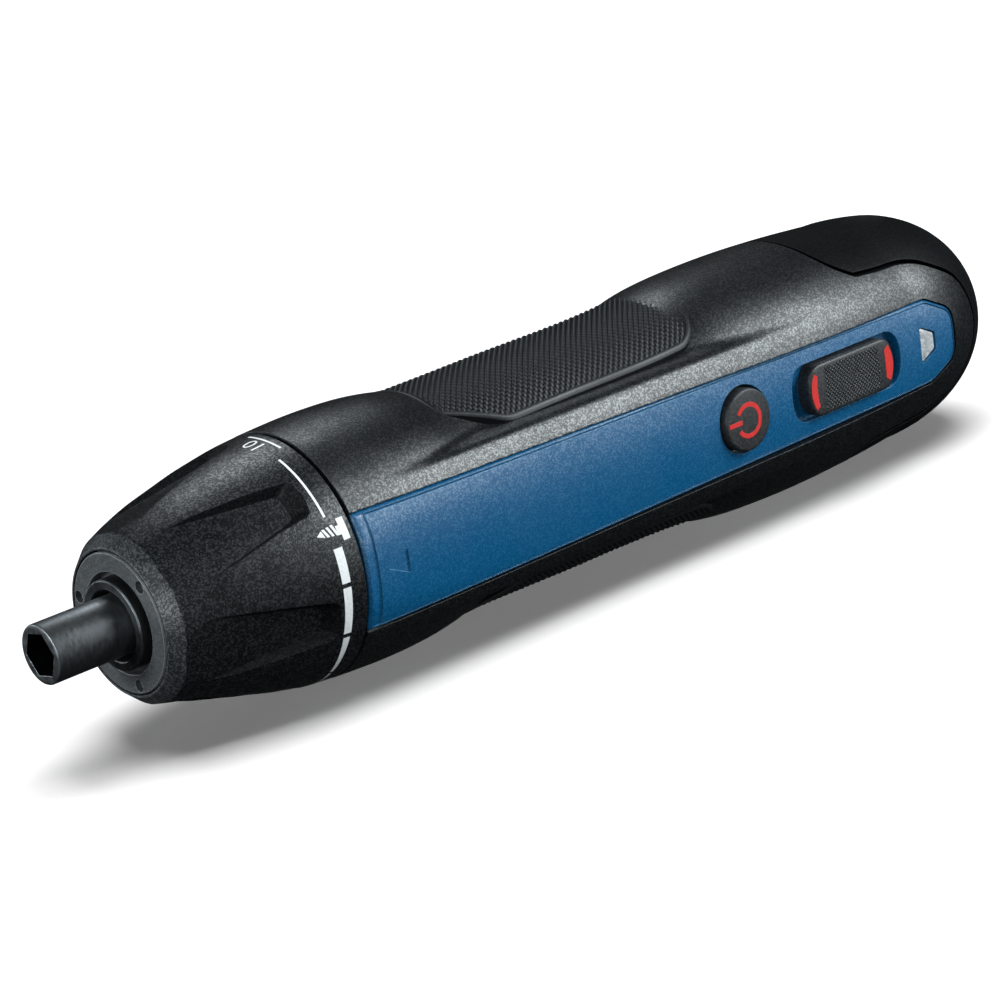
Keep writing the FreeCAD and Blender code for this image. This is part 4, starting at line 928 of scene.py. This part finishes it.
def makeButton():
    top = panel["face"] + button["rise"]
    back = panel["back"]
    piece = buttonDisc("powerKey", "radius", 72, back, top)
    bevelRim(piece, top, button["round"], 4)
    carve(piece, buttonDisc("flange", "flange", 48, back - button["foot"], back), "UNION")
    carve(piece, buttonDisc("stem", "stem", 24, button["stemEnd"], back), "UNION")
    settle(piece, 35, keyFinish, "button", "power_button")


ink = {"thick": 0.06, "sink": 0.02}
symbol = {"radius": 2.65, "stroke": 0.78, "open": 32.0, "barFrom": -4.6, "barTo": -1.6}


def inkPatch(name, outline, face, body):
    near = face - ink["sink"]
    dress(sidePrism(name, outline, near, near + ink["thick"]), redFinish, body)


def makeSymbol():
    face = panel["face"] + button["rise"]
    middle = button["station"]
    half = symbol["stroke"] / 2
    start = math.radians(180 - symbol["open"])
    turns = [start - 2 * start * step / 40 for step in range(41)]
    outline = [(middle + r * math.cos(turn), r * math.sin(turn))
               for r, way in ((symbol["radius"] + half, 1), (symbol["radius"] - half, -1))
               for turn in turns[::way]]
    inkPatch("powerArc", outline, face, "button")
    bar = boxOutline(middle + symbol["barFrom"], middle + symbol["barTo"], half)
    inkPatch("powerBar", bar, face, "button")


def makeSlider():
    top = panel["face"] + slider["rise"]
    back = panel["back"]
    floor = slider["wellFloor"]
    piece = sidePrism("directionKey", oblongOutline("key"), floor + slider["lift"], top)
    bevelRim(piece, top, slider["round"], 4)
    deep = slider["stemDeep"]
    carve(piece, sidePrism("keyStem", stemOutline(0, 0), back - deep, floor + deep), "UNION")
    low, high = slider["footRange"]
    carve(piece, sidePrism("foot", oblongOutline("foot"), back - low, back - high), "UNION")
    settle(piece, 35, keyFinish, "slider", "direction_slider")
    half, tall, corner = slider["knurl"]
    field = boxOutline(slider["station"] - half, slider["station"] + half, tall)
    knurl = sidePrism("knurlField", roundCorners(field, [corner] * 4, 4), top - ink["sink"],
                      top + slider["knurlRise"])
    dress(knurl, knurlFinish, "slider")


barShape = {"edge": 0.45, "radius": 5.8, "widths": (1.45, 1.9), "half": 3.15, "taper": 0.35}


def makeSliderBars():
    far = barShape["radius"]
    swing = math.asin(barShape["half"] / far)
    turns = [swing * (1 - 2 * step / 20) for step in range(21)]
    reach = slider["key"][0] / 2 + slider["bow"] - barShape["edge"] - far
    for index, (way, width) in enumerate(zip((-1, 1), barShape["widths"])):
        middle = slider["station"] + way * reach
        rim = [(far, turn) for turn in turns]
        rim += [(far - width * (1 - barShape["taper"] * (turn / swing) ** 2), turn) for turn in turns[::-1]]
        outline = [(middle + way * r * math.cos(turn), r * math.sin(turn)) for r, turn in rim]
        inkPatch("sliderBar%d" % (index + 1), outline, panel["face"] + slider["rise"], "slider")


def makeWindow():
    face = panel["face"] - window["sink"]
    piece = sidePrism("lampWindow", windowOutline(0), panel["face"] - window["depth"], face)
    bevelRim(piece, face, window["round"], 3)
    settle(piece, 30, windowFinish, "body", "led_window")


makeButton()
makeSymbol()
makeSlider()
makeSliderBars()
makeWindow()
print("controls made")

# torque collar, nose ring, bush and spindle

collar = {"front": 14.3, "rim": 16.4, "rear": 45.4, "slim": 11.65, "rings": 80, "turns": 240,
          "rimBand": 0.35, "steep": 0.8, "floorGap": 0.1, "crestGap": 0.05,
          "stations": (16.4, 18.5, 21.0, 25.0, 29.0, 33.0, 37.0, 41.0, 45.4),
          "radii": (13.45, 14.3, 15.2, 16.4, 17.3, 18.2, 18.9, 19.5, 19.9),
          "bore": ((45.4, 14.1), (34.4, 14.1), (26.4, 10.8), (18.9, 10.8), (18.9, 9.9), (16.1, 9.9),
                   (16.1, 11.35), (14.3, 11.35))}
flute = {"count": 6, "turn": 43.8, "front": 15.7, "rear": 38.4, "frontFloor": 13.2, "rearFloor": 17.4,
         "frontHalf": 6.0, "rearHalf": 2.2, "corner": 1.3, "flare": 0.5, "lean": 1.1,
         "tall": 12.0, "bluntShare": 0.8}
collarLine = splineThrough(collar["stations"], collar["radii"])


def turnedAbout(piece, degrees):
    s, y, z = readSpots(piece)
    turn = math.radians(degrees)
    writeSpots(piece, s, y * math.cos(turn) - z * math.sin(turn), y * math.sin(turn) + z * math.cos(turn))


def makeFlute(index):
    front, rear, corner = flute["front"], flute["rear"], flute["corner"]
    corners = [(front, -flute["frontHalf"]), (rear, -flute["rearHalf"]), (rear, flute["rearHalf"]),
               (front, flute["frontHalf"])]
    outline = roundCorners(corners, [0, corner, corner, 0], 6)
    piece = prism("flute", [at(s, y, 0) for s, y in outline], Vector((0, 0, flute["tall"] * mm)))
    s, y, z = readSpots(piece)
    share = (s - front) / (rear - front)
    floor = flute["frontFloor"] + (flute["rearFloor"] - flute["frontFloor"]) * share
    high = z > flute["tall"] / 2
    grown = np.where(high, np.sign(y) * flute["flare"] * z, 0)
    back = np.where(high & (share > flute["bluntShare"]), flute["lean"] * z, 0)  # the blunt rear end
    writeSpots(piece, s + back, y + grown, floor + z)
    turnedAbout(piece, 90 - flute["turn"] + 360 * index / flute["count"])
    return piece


def makeCollar():
    front = [(collar["front"], collar["slim"])]
    stations = np.linspace(collar["rim"], collar["rear"], collar["rings"])
    crest = [(s, float(collarLine(s))) for s in stations]
    piece = turnProfile("torqueDial", front + crest + list(collar["bore"]) + front, collar["turns"])
    for index in range(flute["count"]):
        carve(piece, makeFlute(index))
    settle(piece, 28, collarFinish, "collar", "torque_collar")
    piece.data.materials.append(rimHighlightFinish)
    piece.data.materials.append(fluteShadeFinish)
    for polygon in piece.data.polygons:
        s, y, z, r = faceSpot(polygon)
        steep = (polygon.normal.y * y + polygon.normal.z * z) / r < collar["steep"]
        # the front rim band takes the painted highlight
        if s < collar["rim"] and r > collar["slim"] - collar["rimBand"]:
            polygon.material_index = 1
        # the steep flute walls take the painted shade
        elif steep and flute["frontFloor"] - collar["floorGap"] < r < collarLine(s) - collar["crestGap"]:
            polygon.material_index = 2


ring = {"front": 14.2, "rear": 15.8, "inner": 8.0, "outer": 11.05, "chamfer": 0.2, "holes": 3,
        "holeRadius": 1.0, "holeCircle": 9.75, "holeTurn": 44.0, "holeDeep": 1.1}


def makeNoseRing():
    front, rear, inner, outer = [ring[key] for key in ("front", "rear", "inner", "outer")]
    chamfer = ring["chamfer"]
    start = (front, inner + chamfer / 2)
    piece = turnProfile("noseRing", [start, (front, outer - chamfer), (front + chamfer, outer), (rear, outer),
                                     (rear, inner), (front + chamfer / 2, inner), start], 144)
    for index in range(ring["holes"]):
        turn = math.radians(ring["holeTurn"] + 360 * index / ring["holes"])
        middle = (-ring["holeCircle"] * math.cos(turn), ring["holeCircle"] * math.sin(turn))
        outline = [at(front - 1, y, z) for y, z in circle(middle, ring["holeRadius"], 32)]
        carve(piece, prism("pinHole", outline, Vector(((1 + ring["holeDeep"]) * mm, 0, 0))))
    settle(piece, 30, noseReflectionFinish, "body", "nose_ring")


bush = {"profile": ((13.0, 5.75), (13.0, 6.9), (13.2, 7.1), (26.0, 7.1), (26.0, 4.75), (16.2, 4.75),
                    (16.2, 5.6), (13.15, 5.6), (13.0, 5.75))}
spindle = {"profile": ((0.0, 0.0), (0.0, 3.9), (0.0, 4.4), (0.1, 4.6), (0.3, 4.7), (27.2, 4.7), (27.2, 6.2),
                       (28.6, 6.2), (28.6, 0.0)), "across": 6.4, "turn": 38.0, "deep": 12.0,
           "shank": (28.5, 42.5), "shankAcross": 6.0, "socketRadius": 3.75, "socketRange": (0.05, 12.5)}


def hexBar(name, across, turn, start, end):
    corner = across / math.sqrt(3)
    turns = [math.radians(turn + 60 * side) for side in range(6)]
    return prism(name, [at(start, corner * math.sin(a), corner * math.cos(a)) for a in turns],
                 Vector(((end - start) * mm, 0, 0)))


def makeSpindle():
    sleeve = turnProfile("frontBush", bush["profile"], 128)
    settle(sleeve, 30, bushFinish, "body", "front_bush")
    piece = turnProfile("spindleSleeve", spindle["profile"], 128)
    carve(piece, hexBar("hexagon", spindle["across"], spindle["turn"], -1, spindle["deep"]))
    carve(piece, hexBar("shank", spindle["shankAcross"], 0, *spindle["shank"]), "UNION")
    settle(piece, 28, steelFinish, "output", "spindle")
    # faces inside the hex socket take the painted shade
    piece.data.materials.append(socketShadeFinish)
    low, high = spindle["socketRange"]
    for polygon in piece.data.polygons:
        s, r = faceSpot(polygon)[::3]
        if low < s < high and r < spindle["socketRadius"]:
            polygon.material_index = 1


makeCollar()
makeNoseRing()
makeSpindle()
print("nose made")

# dial marks: thin patches laid round the collar


def layPatch(name, corners, columns=12):
    # corners as (station, degrees from the panel's middle upward), in order round the patch
    clearSelection()
    bpy.ops.mesh.primitive_grid_add(x_subdivisions=columns, y_subdivisions=2, size=1)
    piece = newPiece(name)
    u, v = rawSpots(piece).T[:2, :, None] + 0.5
    a, b, c, d = [np.array(corner, float) for corner in corners]
    spots = a * (1 - u) * (1 - v) + b * u * (1 - v) + c * u * v + d * (1 - u) * v
    wrapInk(piece, spots[:, 0], np.radians(spots[:, 1]), dial["lift"])


def wrapInk(piece, s, turn, lift):
    # round the collar, facing away from its axis
    r = collarLine(s) + lift
    writeSpots(piece, s, -r * np.cos(turn), r * np.sin(turn))
    editAll(piece)
    bpy.ops.mesh.normals_make_consistent(inside=False)
    setMode("OBJECT")
    first = piece.data.polygons[0]
    outward = first.center - at(0, 0, 0)
    outward.x = 0
    if first.normal.dot(outward) < 0:
        editAll()
        bpy.ops.mesh.flip_normals()
        setMode("OBJECT")
    dress(piece, whiteFinish, "collar")


dial = {"line": 42.0, "lift": 0.035,
        "bars": {"dialArc": (66.0, 31.0, 0.2, 0.2, 24), "dialBar1": (16.4, 0.4, 0.78, 0.74, 16),
                 "dialBar2": (-1.6, -24.4, 0.72, 0.66, 16), "dialBar3": (-26.6, -51.0, 0.6, 0.28, 16),
                 "dialBar4": (-52.6, -68.0, 0.24, 0.12, 16)},  # from, to, half widths, columns
        "screw": ((43.5, 44.7, 28.6, 18.6), (42.9, 43.5, 25.6, 21.4)),
        "threads": 3, "threadFirst": 42.2, "threadPitch": 0.78, "threadWide": 0.45, "threadTurns": (26.8, 21.6),
        "threadEnds": (-0.12, 0.42), "threadTaper": 0.3,
        "tip": ((40.4, 25.9), (40.75, 22.4), (39.5, 24.0), (39.5, 24.2)),
        "scale": ((43.75, 94.0), (43.95, 72.5), (44.35, 72.5), (44.15, 94.0))}


def makeDial():
    line = dial["line"]
    for name, (start, end, wide, narrow, columns) in dial["bars"].items():
        corners = [(line - wide, start), (line - narrow, end), (line + narrow, end), (line + wide, start)]
        layPatch(name, corners, columns)
    for index, (near, far, start, end) in enumerate(dial["screw"]):
        layPatch("screwHead%d" % (index + 1), [(near, start), (near, end), (far, end), (far, start)])
    for index in range(dial["threads"]):
        upper, lower = [dial["threadFirst"] - dial["threadPitch"] * index + end for end in dial["threadEnds"]]
        high = dial["threadTurns"][0] - dial["threadTaper"] * index
        low = dial["threadTurns"][1] + dial["threadTaper"] * index
        wide = dial["threadWide"]
        corners = [(upper, high), (lower, low), (lower + wide, low), (upper + wide, high)]
        layPatch("screwThread%d" % (index + 1), corners)
    layPatch("screwTip", dial["tip"])
    layPatch("scaleBar", dial["scale"], 20)


number = {"text": "10", "size": 3.7, "station": 43.2, "turn": 83.0, "lift": 0.06}


def makeNumber():
    # a plain number at the end of the scale, wrapped round the collar
    clearSelection()
    bpy.ops.object.text_add(location=(0, 0, 0))
    piece = bpy.context.object
    piece.data.body = number["text"]
    piece.data.size = number["size"] * mm
    piece.data.align_x = "CENTER"
    piece.data.resolution_u = 6
    bpy.ops.object.convert(target="MESH")
    piece.name = "scaleNumber"
    u, v = rawSpots(piece).T[:2] / mm
    s = number["station"] - v
    turn = np.radians(number["turn"]) + u / float(collarLine(number["station"]))
    wrapInk(piece, s, turn, number["lift"])


makeDial()
makeNumber()
print("dial made")

# inner pieces keep their own meshes

innerFinishes = {
    "bush_steel": makeMetal("inner_bush_steel", (0.18, 0.19, 0.2), (0.28, 0.29, 0.3), (0.5, 0.5, 0.5),
        rough=0.4, grain=900.0, bump=0.2),
    "gear_steel": makeMetal("inner_gear_steel", (0.42, 0.42, 0.44), (0.55, 0.55, 0.57), (0.7, 0.7, 0.7),
        rough=0.35, grain=1200.0, bump=0.2),
    "motor_steel": makeMetal("inner_motor_steel", (0.45, 0.45, 0.46), (0.6, 0.6, 0.6), (0.75, 0.75, 0.75),
        rough=0.3, grain=600.0, bump=0.15),
    "contact_nickel": makeMetal("inner_contact_nickel", (0.5, 0.48, 0.43), (0.62, 0.6, 0.55), (0.75, 0.73, 0.7),
        rough=0.3, grain=800.0, bump=0.15),
    "case_plastic": makeFinish("inner_case_plastic", (0.03, 0.03, 0.033), (0.08, 0.08, 0.085), (0.1, 0.1, 0.1),
        fleckShare=0.4, rough=0.55, grain=3000.0, bump=0.3),
    "ferrite": makeFinish("inner_ferrite", (0.05, 0.05, 0.05), (0.1, 0.1, 0.1), (0.14, 0.14, 0.14),
        fleckShare=0.5, rough=0.7, grain=2600.0, bump=0.4),
    "cell_wrap": makeFinish("inner_cell_wrap", (0.05, 0.22, 0.1), (0.08, 0.3, 0.15), (0.15, 0.4, 0.22),
        fleckShare=0.3, rough=0.3, grain=1500.0, bump=0.1),
    "board_green": makeFinish("inner_board_green", (0.015, 0.12, 0.04), (0.03, 0.18, 0.07), (0.2, 0.2, 0.1),
        fleckShare=0.4, rough=0.35, grain=2000.0, bump=0.15),
    "switch_black": makeFinish("inner_switch_black", (0.02, 0.02, 0.02), (0.05, 0.05, 0.05), (0.08, 0.08, 0.08),
        fleckShare=0.4, rough=0.5, grain=3000.0, bump=0.2)}


def dressInner():
    for entry in frame["record"]["subparts"]:
        if entry["material_slot"] in innerFinishes:
            node = frame["nodes"][entry["node"]]
            node.data.materials.clear()
            node.data.materials.append(innerFinishes[entry["material_slot"]])


dressInner()
print("inner pieces dressed")

# floor, lights and camera

stage = {"floor": 6.0, "middle": (0.8, 0.9), "drop": 0.0001, "tones": (0.79, 0.81), "cloud": (40.0, 4.0),
         "rough": 0.9, "specular": 0.1, "world": 0.015,
         "worldTint": (0.9, 0.95, 1.0, 1), "toolTint": (0.9, 0.975, 1.0)}


def makeFloor():
    clearSelection()
    bpy.ops.mesh.primitive_plane_add(size=stage["floor"],
                                     location=(*stage["middle"], cadBounds[0][2] - stage["drop"]))
    piece = newPiece("studioFloor")
    material, tree, shader = newMaterial("paperSweep")
    cloud = noiseNode(tree, ownPlace(tree), *stage["cloud"])
    dark, light = [(tone, tone, tone) for tone in stage["tones"]]
    feed(tree, shader, {"Base Color": mixColour(tree, cloud, dark, light), "Roughness": stage["rough"],
                        "Specular IOR Level": stage["specular"]})
    piece.data.materials.append(material)
    piece.visible_glossy = False
    piece.visible_diffuse = False
    return piece


def aimed(place, target):
    way = (Vector(target) - Vector(place)).normalized()
    return Matrix.Translation(place) @ way.to_track_quat("-Z", "Y").to_matrix().to_4x4()


def addLight(name, way, distance, size, power, receivers, target=(0, 0, 0.02)):
    data = bpy.data.lights.new(name, "AREA")
    data.shape = "RECTANGLE"
    data.size, data.size_y = size
    data.energy = power
    lamp = bpy.data.objects.new(name, data)
    bpy.context.scene.collection.objects.link(lamp)
    place = Vector(target) + Vector(way).normalized() * distance
    lamp.matrix_world = aimed(place, target)
    lamp.light_linking.receiver_collection = receivers
    if receivers.name == "toolSet":
        data.color = stage["toolTint"]
    return lamp


def makeStage():
    floor = makeFloor()
    toolSet = bpy.data.collections.new("toolSet")
    floorSet = bpy.data.collections.new("floorSet")
    for piece in bpy.data.objects:
        if piece.type == "MESH" and piece is not floor:
            toolSet.objects.link(piece)
    floorSet.objects.link(floor)
    addLight("floorSoft", (0.1, -0.05, 1.0), 1.2, (1.0, 1.0), 27.0, floorSet)
    backdrop = addLight("backdropSoft", (0.9, 1.1, 0.6), 1.54, (1.0, 1.0), 39.0, floorSet, (0.5, 0.6, 0))
    backdrop.data.use_shadow = False
    addLight("shoulderSoft", (0.617, -0.59, 0.53), 0.9, (0.5, 0.36), 9.5, toolSet)
    addLight("topSoft", (0.34, 0.5, 0.79), 1.0, (0.32, 0.32), 2.4, toolSet)
    addLight("panelSoft", (0.617, -0.78, 0.08), 0.9, (0.5, 0.25), 2.4, toolSet)
    addLight("backSoft", (-0.5, 0.85, 0.25), 0.9, (0.4, 0.3), 2.0, toolSet)
    addLight("noseSoft", (-0.75, -0.65, 0.2), 0.8, (0.3, 0.3), 2.5, toolSet)
    addLight("frontSoft", (-0.95, 0.1, 0.3), 0.8, (0.2, 0.2), 6.0, toolSet)
    world = bpy.data.worlds.new("dimRoom")
    world.use_nodes = True
    glow = world.node_tree.nodes["Background"]
    glow.inputs["Color"].default_value = stage["worldTint"]
    glow.inputs["Strength"].default_value = stage["world"]
    bpy.context.scene.world = world
    bpy.context.scene.view_settings.view_transform = "Standard"


cameraShape = {"place": (-0.33143, -0.37937, 0.16913), "right": (0.7283, -0.6714, -0.1373),
               "up": (0.2981, 0.13, 0.9456), "forward": (0.617, 0.7296, -0.2948), "lens": 115.2}


def makeCamera():
    data = bpy.data.cameras.new("photoCamera")
    data.lens = cameraShape["lens"]
    data.sensor_width = 36.0
    data.clip_start = 0.01
    camera = bpy.data.objects.new("photoCamera", data)
    bpy.context.scene.collection.objects.link(camera)
    back = -Vector(cameraShape["forward"])
    turn = Matrix([cameraShape["right"], cameraShape["up"], back]).transposed()
    camera.matrix_world = Matrix.Translation(cameraShape["place"]) @ turn.to_4x4()
    bpy.context.scene.camera = camera


makeStage()
makeCamera()
print("stage made")
